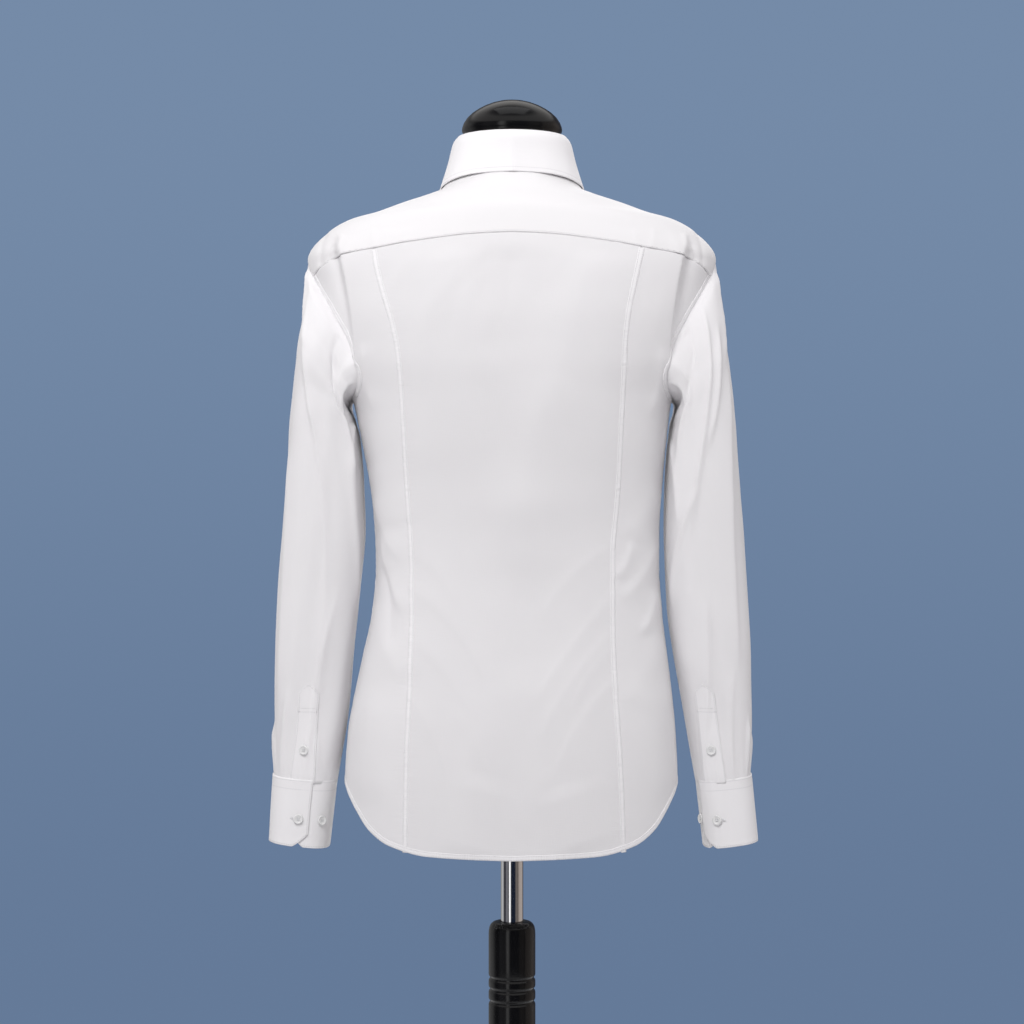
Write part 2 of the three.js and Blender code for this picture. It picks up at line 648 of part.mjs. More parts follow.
// A point of an oval ring between an outer and an inner point, for a turn from the outer edge towards the back.
function ovalPoint(table, key, at, turn, side, lift = 0) {
  const name = side > 0 ? "Left" : "Right";
  const value = (column) => read(table, key, at, column);
  const c = Math.cos(turn * DEGREE);
  const s = Math.sin(turn * DEGREE);
  const halfWidth = (value("out" + name) - value("in" + name)) / 2;
  const x = (value("out" + name) + value("in" + name)) / 2 + (halfWidth + lift) * c;
  const halfHeight = (value("outHeight") - value("inHeight")) / 2;
  const z = (value("outHeight") + value("inHeight")) / 2 + halfHeight * c;
  return new THREE.Vector3(side * x, value("middle") + (value("depth") + lift) * s, z);
}

function sleeveFold(ring, turn) {
  let lift = 0;
  for (const fold of SLEEVE_FOLDS) {
    const away = (turn - fold.angle) / fold.spread;
    const length = smooth((ring - fold.from) / 1.5) * smooth((fold.to - ring) / 2);
    lift += fold.lift * Math.exp(-away * away) * length;
  }
  return lift;
}

const SLEEVE_END = SLEEVE[SLEEVE.length - 1].ring;
function sleevePoint(ring, turn, side, seamPoint) {
  const point = ovalPoint(SLEEVE, "ring", ring, turn, side, sleeveFold(ring, turn));
  const hold = Math.max(1 - ring / ARMHOLE_FADE, 0) ** 2;
  const start = ovalPoint(SLEEVE, "ring", 0, turn, side);
  return point.addScaledVector(seamPoint.clone().sub(start), hold);
}

// The turned seam point of a station.
function seamPointAt(turn, side) {
  const place = armhole(Math.abs(turn), turn >= 0 ? "back" : "front");
  const { angle, run } = onSide(place, side);
  return { point: bodyPoint(angle, run), normal: bodyNormal(angle, run) };
}

const CUFF_SEAM = 0.2;
const sleeveGrids = {};
for (const side of [1, -1]) {
  const turns = armholeStations();
  const seams = turns.map((turn) => seamPointAt(turn, side));
  const points = [];
  for (let k = 0; k <= SLEEVE_RINGS; k += 1) {
    const ring = (SLEEVE_END * k) / SLEEVE_RINGS;
    points.push(turns.map((turn, i) => sleevePoint(ring, turn, side, seams[i].point)));
  }
  const inwards = tubeNormals(points);
  const centre = (row) => row.reduce((sum, p) => sum.add(p), new THREE.Vector3()).divideScalar(row.length);
  const grid = points.map((row, j) => {
    const middle = centre(row);
    return row.map((point, i) => {
      const normal = inwards[j][i];
      if (normal.dot(point.clone().sub(middle)) < 0) normal.negate();
      if (j === 0) normal.lerp(seams[i].normal, smooth((115 - Math.abs(turns[i])) / 55)).normalize();
      return { point, normal };
    });
  });
  grid[SLEEVE_RINGS].forEach((cell) => { cell.point.z += CUFF_SEAM; });
  sleeveGrids[side] = grid;
  addPiece("sleeve_" + sideName(side), wall(trim(grid, ["bottom"], SEAM_GAP), CLOTH, true), whiteCotton());
}

// Cuffs: a band that laps over itself at the back of the wrist, with its corners cut away.
const CUFF_SIDES = {
  1: { lap: 109, buttons: [90, 130], placket: 89 },
  "-1": { lap: 150, buttons: [116, 160], placket: 112 },
};
const CUFF_BUTTON_LEVEL = 0.58;
function cuffCell(travel, level, side) {
  const edge = CUFF_SIDES[side].lap;
  const whole = 360 + CUFF_LAP;
  const turn = edge - travel * whole;
  const over = 1 - smooth((travel * whole) / 70);
  const under = 1 - smooth(((1 - travel) * whole) / 70);
  const lift = CUFF_LAP_LIFT * (over - under);
  const point = ovalPoint(CUFF, "level", level, turn, side, lift);
  const normal = ovalPoint(CUFF, "level", level, turn, side, lift + 1).sub(point).normalize();
  return { point, normal };
}
for (const side of [1, -1]) {
  const cut = CUFF_CUT_HEIGHT / (CUFF[0].outHeight - CUFF[1].outHeight);
  const lowest = (i) => {
    const near = 1 - Math.min(i, CUFF_COLUMNS - i) / CUFF_CUT_COLUMNS;
    return 1 - cut * Math.max(near, 0);
  };
  const row = (v) => even(CUFF_COLUMNS).map((u, i) => cuffCell(u, v * lowest(i), side));
  const grid = even(CUFF_ROWS).map(row);
  grid[0].forEach((cell) => { cell.point.z -= CUFF_SEAM; });
  addPiece("cuff_" + sideName(side), wall(grid, CUFF_CLOTH), whiteCotton());
}

// A round button lying on a cell, at a height above its outer face.
function addButton(name, cell, lift) {
  const button = new THREE.CylinderGeometry(BUTTON_RADIUS, BUTTON_RADIUS, BUTTON_THICKNESS, BUTTON_SIDES);
  const piece = addPiece(name, button, whiteButton());
  piece.quaternion.setFromUnitVectors(new THREE.Vector3(0, 1, 0), cell.normal.clone().normalize());
  piece.position.copy(cell.point).addScaledVector(cell.normal, lift + BUTTON_CLEARANCE + BUTTON_THICKNESS / 2);
}

for (const side of [1, -1]) {
  CUFF_SIDES[side].buttons.forEach((turn, k) => {
    const travel = (CUFF_SIDES[side].lap - turn + (k ? 360 : 0)) / (360 + CUFF_LAP);
    addButton("cuff_button_" + sideName(side) + "_" + (k + 1), cuffCell(travel, CUFF_BUTTON_LEVEL, side), 0.5);
  });
}

// Gauntlet placket: a pointed strip on the back of each sleeve, just above the cuff.
const GAUNTLET = [
  { height: 787, half: 1.5 },
  { height: 778, half: 15 },
  { height: 756, half: 15.5 },
  { height: 734, half: 16.5 },
  { height: 712, half: 18.5 },
  { height: 690, half: 21 },
];
const GAUNTLET_CLOTH = 1.0;
const GAUNTLET_LIFT = 0.85;
const GAUNTLET_BUTTON_HEIGHT = 714;
const SLEEVE_RING_STEP = 66;
function sleeveCell(height, turn, side) {
  let ring = SLEEVE_END - 1;
  for (let k = 0; k < 12; k += 1) {
    const z = ovalPoint(SLEEVE, "ring", ring, turn, side).z;
    ring += (z - height) / SLEEVE_RING_STEP;
  }
  const lift = sleeveFold(ring, turn);
  const point = ovalPoint(SLEEVE, "ring", ring, turn, side, lift);
  const before = ovalPoint(SLEEVE, "ring", ring, turn - 2, side, lift);
  const across = ovalPoint(SLEEVE, "ring", ring, turn + 2, side, lift).sub(before);
  const along = ovalPoint(SLEEVE, "ring", ring + 0.05, turn, side, lift).sub(point);
  const normal = across.cross(along).normalize();
  if (normal.y < 0) normal.negate();
  return { point, normal };
}
for (const side of [1, -1]) {
  const middle = CUFF_SIDES[side].placket;
  const cell = (row, share) => sleeveCell(row.height, middle + share * row.half, side);
  const grid = GAUNTLET.map((row) => [-1, -0.5, 0, 0.5, 1].map((share) => cell(row, share)));
  const lift = GAUNTLET_LIFT + GAUNTLET_CLOTH;
  addPiece("sleeve_placket_" + sideName(side), wall(grid, GAUNTLET_CLOTH, false, lift), whiteCotton());
  addButton("sleeve_placket_button_" + sideName(side), sleeveCell(GAUNTLET_BUTTON_HEIGHT, middle, side), lift + 0.2);
}

// Collar stand: a band on the neckline whose ends lap at the centre front.
function standEdge(angle) {
  const s = Math.sin(angle * DEGREE);
  const depth = s >= 0 ? STAND_TOP_BACK : STAND_TOP_FRONT;
  const c = Math.cos(angle * DEGREE);
  const reach = 1 / Math.hypot(c / STAND_TOP_SIDE, s / depth);
  const height = STAND_TOP - (s < 0 ? STAND_TOP_DROP * s * s : 0);
  return new THREE.Vector3(reach * c, reach * s, height);
}
function standPoint(angle, level) {
  const foot = bodyPoint(angle, NECK_RUN);
  const s = Math.sin(angle * DEGREE);
  const inset = 1 - (s < 0 ? 0.9 + 1.2 * s * s : 0.9) / Math.hypot(foot.x, foot.y);
  foot.x *= inset;
  foot.y *= inset;
  foot.z += STAND_LIFT + (s < 0 ? 0.9 * s * s : 0);
  return foot.lerp(standEdge(angle), level);
}
const STAND_LIFT_AT_LAP = 1.3;
const STAND_ROWS = 3;
const outwards = (angle) => new THREE.Vector3(Math.cos(angle * DEGREE), Math.sin(angle * DEGREE), 0);
function standCell(share, level) {
  const from = -90 - STAND_LAP_ANGLE;
  const whole = 360 + 2 * STAND_LAP_ANGLE;
  const angle = from + share * whole;
  const over = 1 - smooth((share * whole) / 60);
  const under = 1 - smooth(((1 - share) * whole) / 60);
  const normal = outwards(angle);
  const point = standPoint(angle, level).addScaledVector(normal, STAND_LIFT_AT_LAP * (over - under));
  return { point, normal };
}
const standGrid = even(STAND_ROWS).map((v) => even(COLLAR_COLUMNS).map((u) => standCell(u, v)));
addPiece("collar_stand", wall(standGrid, BAND_CLOTH), whiteCotton());

// Collar fall: rises from the top of the stand, folds over and lies outside it down to its edge.
const FALL_START = -84;
const FALL_CLOTH = 1.6;
const FALL_SEAM = 1.6;
const FOLD_STEPS = 4;
const FOLD_TURN = 0.93;
const FALL_INSET = 0.7;
const LEAF_ROWS = 4;
const LEAF_BULGE = 2.2;
function fallColumn(angle) {
  const folded = angle > 90 ? 180 - angle : angle;
  const sign = angle > 90 ? -1 : 1;
  const out = outwards(angle);
  const top = standEdge(angle);
  const cells = [];
  const inner = top.clone().addScaledVector(out, -BAND_CLOTH / 2 - FALL_INSET);
  const push = (point, normal) => cells.push({ point, normal });
  push(inner.clone().setZ(top.z + FALL_SEAM), out.clone().negate());
  const hub = inner.clone().addScaledVector(out, FOLD_RADIUS);
  hub.z = top.z + FALL_SEAM + FOLD_RISE;
  for (let k = 0; k <= FOLD_STEPS; k += 1) {
    const turn = Math.PI * (1 - (FOLD_TURN * k) / FOLD_STEPS);
    const normal = out.clone().multiplyScalar(Math.cos(turn)).add(new THREE.Vector3(0, 0, Math.sin(turn)));
    push(hub.clone().addScaledVector(normal, FOLD_RADIUS), normal);
  }
  const from = cells[cells.length - 1].point.clone();
  const edge = new THREE.Vector3(
    sign * read(COLLAR_EDGE, "angle", folded, "out"),
    read(COLLAR_EDGE, "angle", folded, "along"),
    read(COLLAR_EDGE, "angle", folded, "height"),
  );
  const fall = edge.clone().sub(from);
  const normal = new THREE.Vector3(-fall.y, fall.x, 0).cross(fall).normalize();
  if (normal.dot(out) < 0) normal.negate();
  for (let k = 1; k <= LEAF_ROWS; k += 1) {
    const t = k / LEAF_ROWS;
    push(from.clone().lerp(edge, t).addScaledVector(out, LEAF_BULGE * Math.sin(Math.PI * t)), normal.clone());
  }
  return cells;
}
const fallColumns = even(COLLAR_COLUMNS).map((u) => fallColumn(mix(FALL_START, 180 - FALL_START, u)));
const fallGrid = fallColumns[0].map((_, j) => fallColumns.map((column) => column[j]));
addPiece("collar_fall", wall(fallGrid, FALL_CLOTH), whiteCotton());

// The point of the placket's middle line at a height.
function placketCell(height) {
  const line = placketGrid.map((row) => row[1]);
  const j = line.findIndex((cell) => cell.point.z > height);
  const from = line[j - 1];
  const t = (height - from.point.z) / (line[j].point.z - from.point.z);
  return { point: from.point.clone().lerp(line[j].point, t), normal: from.normal.clone().lerp(line[j].normal, t) };
}

// Buttons down the front, the top one on the collar stand.
const FRONT_BUTTONS = 7;
const FRONT_BUTTON_TOP = 1215;
const FRONT_BUTTON_STEP = 79;
for (let k = 0; k < FRONT_BUTTONS; k += 1) {
  const cell = placketCell(FRONT_BUTTON_TOP - k * FRONT_BUTTON_STEP);
  addButton("front_button_" + (k + 1), cell, placketLift + 0.2);
}
addButton("collar_button", standCell(STAND_LAP_ANGLE / (360 + 2 * STAND_LAP_ANGLE), 0.5), 0.5);

// The limbless form, a whole smooth body inside the shirt that carries it on the shoulders.
const TORSO = [
  { run: 700, clear: 14, reach: 400 },
  { run: 914, clear: 8, reach: 400 },
  { run: 1060, clear: 9, reach: 400 },
  { run: 1100, clear: 9, reach: 162 },
  { run: 1140, clear: 9, reach: 158 },
  { run: 1180, clear: 8, reach: 170 },
  { run: 1220, clear: 9, reach: 190 },
  { run: 1254, clear: 9, reach: 200 },
  { run: 1276, clear: 8, reach: 202 },
  { run: 1295, clear: 6.5, reach: 400 },
  { run: 1325, clear: CLOTH + FORM_SEAT, reach: 400 },
  { run: 1373, clear: CLOTH + FORM_SEAT, reach: 400 },
  { run: 1397, clear: 4, reach: 400 },
  { run: 1434, clear: 6, reach: 400 },
];
const TORSO_RUNS = [700, 770, 850, 914, 980, 1050, 1100, 1140, 1180, 1220, 1254, 1276, 1300, 1325];
TORSO_RUNS.push(1350, 1375, 1397, 1417, NECK_RUN);
const TORSO_CHEST_CLEAR = 3.5;
const TORSO_SIDES = 28;
const NECK_TOP = 1377.5;
const NECK_HALF_WIDTH = 52;
const NECK_HALF_DEPTH = 46;
const NECK_MIDDLE = 3;
const turnsRound = Array.from({ length: TORSO_SIDES }, (_, i) => (360 * (i + 0.5)) / TORSO_SIDES);
function torsoRing(run) {
  return turnsRound.map((angle) => {
    const facing = Math.sin(angle * DEGREE);
    const clear = read(TORSO, "run", run, "clear") + TORSO_CHEST_CLEAR * facing * facing;
    const reach = read(TORSO, "run", run, "reach");
    const point = bodyPoint(angle, run).addScaledVector(bodyNormal(angle, run), -clear);
    point.x = Math.min(Math.max(point.x, -reach), reach);
    return point;
  });
}
const roundRing = (radius, height) => turnsRound.map((angle) => outwards(angle).multiplyScalar(radius).setZ(height));
const neckRing = turnsRound.map((angle) => {
  const out = outwards(angle);
  return new THREE.Vector3(NECK_HALF_WIDTH * out.x, NECK_MIDDLE + NECK_HALF_DEPTH * out.y, NECK_TOP);
});
const torsoRings = [roundRing(BORE_RADIUS, POCKET_TOP), roundRing(BORE_RADIUS, TORSO_BOTTOM)];
torsoRings.push(...TORSO_RUNS.map(torsoRing), neckRing);
const torso = ringStack(new THREE.Vector3(0, 0, POCKET_TOP), torsoRings, new THREE.Vector3(0, NECK_MIDDLE, NECK_TOP));
addPiece("torso", torso, formCover());

// Parts turned on a lathe, from named radii and heights.
const profile = (rows) => rows.map((row) => new THREE.Vector2(row.radius, row.height));
function addTurned(name, rows, sides, material) {
  const geometry = new THREE.LatheGeometry(profile(rows), sides);
  geometry.rotateX(Math.PI / 2);
  return addPiece(name, geometry, material);
}

const CAP = [
  { radius: 0, height: 1378 },
  { radius: 51.5, height: 1378 },
  { radius: 54, height: 1380.5 },
  { radius: 55, height: 1391 },
  { radius: 54, height: 1392.5 },
  { radius: 54, height: 1394.5 },
  { radius: 55.6, height: 1396.5 },
  { radius: 55.2, height: 1400 },
  { radius: 53, height: 1406 },
  { radius: 44.5, height: 1417 },
  { radius: 31, height: 1425 },
  { radius: 16, height: 1429.8 },
  { radius: 0, height: 1431.3 },
];
const CAP_SIDES = 32;
const CAP_DEPTH_SHARE = 0.89;
const cap = addTurned("neck_cap", CAP, CAP_SIDES, blackGloss());
cap.geometry.scale(1, CAP_DEPTH_SHARE, 1);
cap.position.y = NECK_MIDDLE;

// The chrome pole slides and turns in the bored column.
const pole = new THREE.CylinderGeometry(POLE_RADIUS, POLE_RADIUS, POLE_TOP - POLE_BOTTOM, POLE_SIDES);
pole.rotateX(Math.PI / 2);
addPiece("pole", pole, chrome()).position.z = (POLE_TOP + POLE_BOTTOM) / 2;

const COLUMN = [
  { radius: 0, height: COLUMN_BORE_BOTTOM },
  { radius: BORE_RADIUS, height: COLUMN_BORE_BOTTOM },
  { radius: BORE_RADIUS, height: COLUMN_TOP },
  { radius: 16, height: COLUMN_TOP },
  { radius: 21.5, height: COLUMN_TOP - 2 },
  { radius: 25.5, height: COLUMN_TOP - 7.5 },
  { radius: 26, height: COLUMN_TOP - 12 },
  { radius: 26, height: 461 },
  { radius: 24.7, height: 459.5 },
  { radius: 24.7, height: 458 },
  { radius: 26, height: 456.5 },
  { radius: 26, height: 448.5 },
  { radius: 24.7, height: 447 },
  { radius: 24.7, height: 445.5 },
  { radius: 26, height: 444 },
  { radius: 26, height: 435 },
  { radius: 24.7, height: 433.5 },
  { radius: 24.7, height: 432 },
  { radius: 26, height: 430.5 },
  { radius: 26, height: 96 },
  { radius: 31, height: 66 },
  { radius: 31, height: COLUMN_BOTTOM },
  { radius: 0, height: COLUMN_BOTTOM },
];
addTurned("column", [...COLUMN].reverse(), POLE_SIDES, blackGloss());

const BASE = [
  { radius: 0, height: 0 },
  { radius: BASE_RADIUS - 2, height: 0 },
  { radius: BASE_RADIUS, height: 2 },
  { radius: BASE_RADIUS, height: 9 },
  { radius: BASE_RADIUS - 3, height: 12 },
  { radius: 110, height: 19 },
  { radius: 52, height: 30 },
  { radius: 37, height: 42 },
  { radius: 34, height: 58 },
  { radius: 0, height: 58 },
];
const BASE_SIDES = 48;
addTurned("base", BASE, BASE_SIDES, blackGloss());

export default group;
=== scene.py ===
import math
import bpy
import bmesh
import numpy as np
from mathutils import Matrix, Vector


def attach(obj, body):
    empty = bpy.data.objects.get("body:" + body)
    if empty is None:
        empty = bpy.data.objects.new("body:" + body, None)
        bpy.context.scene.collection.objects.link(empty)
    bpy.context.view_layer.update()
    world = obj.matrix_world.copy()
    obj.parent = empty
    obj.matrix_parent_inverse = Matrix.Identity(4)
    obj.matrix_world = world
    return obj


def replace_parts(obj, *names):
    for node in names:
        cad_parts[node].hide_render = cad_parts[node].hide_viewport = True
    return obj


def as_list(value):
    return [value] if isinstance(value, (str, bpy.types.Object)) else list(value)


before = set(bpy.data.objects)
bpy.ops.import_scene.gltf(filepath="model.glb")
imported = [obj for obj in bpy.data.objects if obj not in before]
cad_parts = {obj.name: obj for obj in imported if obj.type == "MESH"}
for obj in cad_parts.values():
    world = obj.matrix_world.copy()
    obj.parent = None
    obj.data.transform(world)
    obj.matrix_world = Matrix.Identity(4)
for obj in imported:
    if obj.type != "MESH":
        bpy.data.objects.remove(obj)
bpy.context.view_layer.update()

CAMERA_DISTANCE = 2.5
CAMERA_HEIGHT = 0.975
PIXEL_SIZE = 0.00111
SENSOR_WIDTH = 36
camera = bpy.data.objects.new("camera", bpy.data.cameras.new("camera"))
camera.data.sensor_width = SENSOR_WIDTH
camera.data.lens = SENSOR_WIDTH * CAMERA_DISTANCE / (1024 * PIXEL_SIZE)
camera.location = (0, CAMERA_DISTANCE, CAMERA_HEIGHT)
camera.rotation_euler = (math.radians(90), 0, math.radians(180))
bpy.context.scene.collection.objects.link(camera)
bpy.context.scene.camera = camera


class Shade:
    """A socket of a material, on which sums are written as plain sums."""

    def __init__(self, tree, socket=None):
        self.tree = tree
        self.socket = socket

    def node(self, kind, settings, inputs, output=0):
        made = self.tree.nodes.new(kind)
        for name, value in settings.items():
            if name == "stops":
                stops = made.color_ramp.elements
                while len(stops) < len(value):
                    stops.new(0.5)
                for stop, (place, colour) in zip(stops, value):
                    stop.position = place
                    stop.color = colour
            else:
                setattr(made, name, value)
        for name, value in inputs.items():
            if isinstance(value, Shade):
                self.tree.links.new(value.socket, made.inputs[name])
            else:
                made.inputs[name].default_value = value
        return Shade(self.tree, made.outputs[output])

    def sum(self, operation, first, second=0.0):
        return self.node("ShaderNodeMath", {"operation": operation}, {0: first, 1: second})

    def __add__(self, other):
        return self.sum("ADD", self, other)

    def __radd__(self, other):
        return self.sum("ADD", other, self)

    def __sub__(self, other):
        return self.sum("SUBTRACT", self, other)

    def __rsub__(self, other):
        return self.sum("SUBTRACT", other, self)

    def __mul__(self, other):
        return self.sum("MULTIPLY", self, other)

    def __rmul__(self, other):
        return self.sum("MULTIPLY", other, self)

    def __truediv__(self, other):
        return self.sum("DIVIDE", self, other)


def material(name):
    """A new material, and its tree ready for sums."""
    made = bpy.data.materials.new(name)
    made.use_nodes = True
    return made, Shade(made.node_tree)


def plug(shade, **links):
    """Feeds sums or plain values to the named sockets of a material's shader."""
    shader = shade.tree.nodes["Principled BSDF"]
    for name, value in links.items():
        socket = shader.inputs[name.replace("_", " ")]
        if isinstance(value, Shade):
            shade.tree.links.new(value.socket, socket)
        else:
            socket.default_value = value


def spot_of(shade):
    """Object coordinates, in metres."""
    return shade.node("ShaderNodeTexCoord", {}, {}, "Object")


def noise(where, scale, detail=2.0, roughness=0.5):
    return where.node("ShaderNodeTexNoise", {},
                      {"Vector": where, "Scale": scale, "Detail": detail, "Roughness": roughness})


def blend(share, first, second):
    """A colour between two, by a share."""
    return share.node("ShaderNodeMix", {"data_type": "RGBA"}, {0: share, 6: first, 7: second}, 2)


def fade(value, low, high, first=0.0, last=1.0, way="SMOOTHSTEP"):
    """Takes a value from first to last while it goes from low to high."""
    return value.node("ShaderNodeMapRange", {"interpolation_type": way},
                      {"Value": value, 1: low, 2: high, 3: first, 4: last})


def poured(name, bm, sharp=None):
    """The mesh of a finished bmesh, shaded smooth, and sharp again at edges that turn more than an angle."""
    mesh = bpy.data.meshes.new(name)
    bm.to_mesh(mesh)
    bm.free()
    mesh.polygons.foreach_set("use_smooth", [True] * len(mesh.polygons))
    if sharp:
        mesh.set_sharp_from_angle(angle=math.radians(sharp))
    return mesh


FLOOR_RADIUS = 0.95
floor_bm = bmesh.new()
bmesh.ops.create_circle(floor_bm, cap_ends=True, segments=96, radius=FLOOR_RADIUS)
floor_mesh = poured("floor", floor_bm)
floor = bpy.data.objects.new("floor", floor_mesh)
bpy.context.scene.collection.objects.link(floor)
floor_finish, floor_shade = material("pale_floor")
floor_speckle = noise(spot_of(floor_shade), 3.0, 3.0)
plug(floor_shade, Base_Color=(0.74, 0.75, 0.76, 1), Roughness=floor_speckle * 0.2 + 0.55)
floor_mesh.materials.append(floor_finish)

world = bpy.data.worlds.new("surround")
world.use_nodes = True
world_shade = Shade(world.node_tree)
sight = world_shade.node("ShaderNodeTexCoord", {}, {}, "Generated")
sight_x, sight_y, sight_z = [world_shade.node("ShaderNodeSeparateXYZ", {}, {0: sight}, k) for k in range(3)]
backdrop = blend(fade(sight_z, -0.22, 0.2), (0.13, 0.195, 0.315, 1), (0.178, 0.257, 0.39, 1))
seen = world_shade.node("ShaderNodeBackground", {}, {"Color": backdrop, "Strength": 1.0})
lit = world_shade.node("ShaderNodeBackground", {}, {"Color": (0.96, 0.93, 0.955, 1), "Strength": 0.46})
quarter = world_shade.sum("ARCTAN2", sight_x, sight_y) / (2 * math.pi) + 0.5
SCREENS = [
    (0.0, (0.05, 0.06, 0.08, 1)), (0.1, (0.1, 0.1, 0.12, 1)), (0.17, (0.5, 0.44, 0.4, 1)),
    (0.3, (0.42, 0.36, 0.32, 1)), (0.318, (0.02, 0.02, 0.02, 1)), (0.335, (0.2, 0.17, 0.15, 1)),
    (0.39, (0.16, 0.14, 0.13, 1)), (0.41, (0.01, 0.015, 0.03, 1)), (0.53, (0.01, 0.015, 0.03, 1)),
    (0.551, (1.6, 1.6, 1.6, 1)), (0.572, (1.6, 1.6, 1.6, 1)), (0.585, (0.12, 0.12, 0.13, 1)),
    (0.66, (0.22, 0.22, 0.24, 1)), (0.7, (0.02, 0.02, 0.03, 1)), (0.74, (0.03, 0.03, 0.04, 1)),
    (0.8, (0.6, 0.6, 0.6, 1)), (0.92, (0.3, 0.3, 0.3, 1)), (1.0, (0.05, 0.06, 0.08, 1)),
]
screens = world_shade.node("ShaderNodeValToRGB", {"stops": SCREENS}, {0: quarter})
level = fade(world_shade.sum("ABSOLUTE", sight_z), 0.35, 0.7, 1.0, 0.0)
overhead = fade(world_shade.sum("ABSOLUTE", sight_z - 0.72), 0.1, 0.24, 1.0, 0.0)
mirrored = blend(overhead, blend(level, (0.015, 0.015, 0.02, 1), screens), (0.9, 0.88, 0.86, 1))
shown = world_shade.node("ShaderNodeBackground", {}, {"Color": mirrored, "Strength": 1.0})
straight = world_shade.node("ShaderNodeLightPath", {}, {}, "Is Camera Ray")
glossed = world_shade.node("ShaderNodeLightPath", {}, {}, "Is Glossy Ray")
mixed = world_shade.node("ShaderNodeMixShader", {}, {0: glossed, 1: lit, 2: shown})
mixed = world_shade.node("ShaderNodeMixShader", {}, {0: straight, 1: mixed, 2: seen})
world.node_tree.links.new(mixed.socket, world.node_tree.nodes["World Output"].inputs["Surface"])
bpy.context.scene.world = world

bpy.context.scene.view_settings.view_transform = "Standard"
SOFTBOXES = [
    ("key", (0.4, 1.9, 2.35), 0.9, 33),
    ("front_key", (-0.4, -1.9, 2.35), 0.9, 33),
    ("left", (2.0, 0.2, 2.1), 1.0, 7),
    ("right", (-2.0, 0.2, 2.1), 1.0, 8),
    ("top", (0.0, 0.0, 2.9), 1.0, 3),
]
for box_name, place, size, power in SOFTBOXES:
    softbox = bpy.data.lights.new(box_name, "AREA")
    softbox.size = size
    softbox.energy = power
    lamp = bpy.data.objects.new(box_name, softbox)
    lamp.location = place
    aim = Vector((0, 0, 1.0)) - Vector(place)
    lamp.rotation_euler = aim.to_track_quat("-Z", "Y").to_euler()
    lamp.visible_glossy = box_name == "top"
    bpy.context.scene.collection.objects.link(lamp)

# Round base: a heavy iron disc, spun and lacquered black, that the column is bolted to.
# Its top slopes up to a short neck round the column's foot.
MILLI = 0.001
TURN_STEPS = 96


def piece(name, mesh, body, slot, *finishes):
    """An object for a mesh, which rides on a body and shows a finish."""
    made = bpy.data.objects.new(name, mesh)
    bpy.context.scene.collection.objects.link(made)
    for finish in finishes:
        mesh.materials.append(finish)
    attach(made, body)
    return made


def lathe(rows, steps, scale=1.0):
    """A bmesh spun from rows of radius and height, from its bottom axis point up to its top one."""
    bm = bmesh.new()
    verts = [bm.verts.new((radius * scale, 0, height * scale)) for radius, height in rows]
    edges = [bm.edges.new(ends) for ends in zip(verts, verts[1:])]
    bmesh.ops.spin(bm, geom=verts + edges, cent=(0, 0, 0), axis=(0, 0, 1), angle=2 * math.pi,
                   steps=steps, use_merge=True)
    bmesh.ops.remove_doubles(bm, verts=bm.verts, dist=1e-3 * scale)
    bmesh.ops.recalc_face_normals(bm, faces=bm.faces)
    return bm


def turned(name, rows, place, body, slot, finish, squash=1.0):
    """A turned piece of the stand, from rows in millimetres."""
    bm = lathe(rows, TURN_STEPS, MILLI)
    bmesh.ops.scale(bm, vec=(1, squash, 1), verts=bm.verts)
    bmesh.ops.translate(bm, vec=Vector(place) * MILLI, verts=bm.verts)
    return piece(name, poured(name, bm, 40), body, slot, finish)


def relief(height, strength, distance):
    return height.node("ShaderNodeBump", {}, {"Height": height, "Strength": strength, "Distance": distance})


def lacquer(name, colour, roughness, dust):
    """Black gloss lacquer with a fine orange peel and a trace of dust."""
    made, shade = material(name)
    spot = spot_of(shade)
    haze = noise(spot, 22.0, 4.0)
    tone = blend(haze * dust, colour, (0.02, 0.02, 0.022, 1))
    bump = relief(noise(spot, 900.0), 0.06, 0.0004)
    plug(shade, Base_Color=tone, Roughness=haze * 0.08 + roughness, Normal=bump,
         Specular_IOR_Level=0.22, Coat_Weight=0.12, Coat_Roughness=0.06)
    return made


black_lacquer = lacquer("black_lacquer", (0.003, 0.003, 0.0035, 1), 0.13, 0.25)
BASE = [(0, 0), (177.2, 0), (179.2, 0.6), (180, 2.2), (180, 9), (179.2, 11), (177, 12.1), (140, 15.2),
        (110, 19), (78, 23.6), (60, 27.4), (52, 30), (44, 34.5), (38.5, 39.5), (36.4, 44), (35, 52),
        (34.2, 57), (33.4, 58), (0, 58)]
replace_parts(turned("round_base", BASE, (0, 0, 0), "stand", "black_gloss", black_lacquer), "base")

# Column: a black lacquered tube with three turned grooves under its rounded top, which clamps the pole.
# It stands on the base's neck and is bored for the sliding pole.
GROOVES = (459, 446.5, 433)
column_rows = [(0, 58.4), (30.6, 58.4), (31, 59), (31, 66), (29.6, 74), (26.4, 92), (26, 97)]
for height in reversed(GROOVES):
    column_rows += [(26, height - 3.6), (25.6, height - 2.2), (24.6, height - 1.2), (24.3, height),
                    (24.6, height + 1.2), (25.6, height + 2.2), (26, height + 3.6)]
column_rows += [(26, 507), (25.8, 511), (25, 515), (23.4, 518), (21, 520), (18, 520.9), (14.2, 521),
                (13.3, 520), (13.2, 518), (13.2, 100), (0, 100)]
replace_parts(turned("ribbed_column", column_rows, (0, 0, 0), "stand", "black_gloss", black_lacquer),
            "column")

# Pole: a bright chromed steel tube, drawn lengthwise and closed by small chamfers at its ends.
# It slides in the column and carries the form, which turns on it.


def stretched(where, scale):
    return where.node("ShaderNodeMapping", {}, {"Vector": where, "Scale": scale})


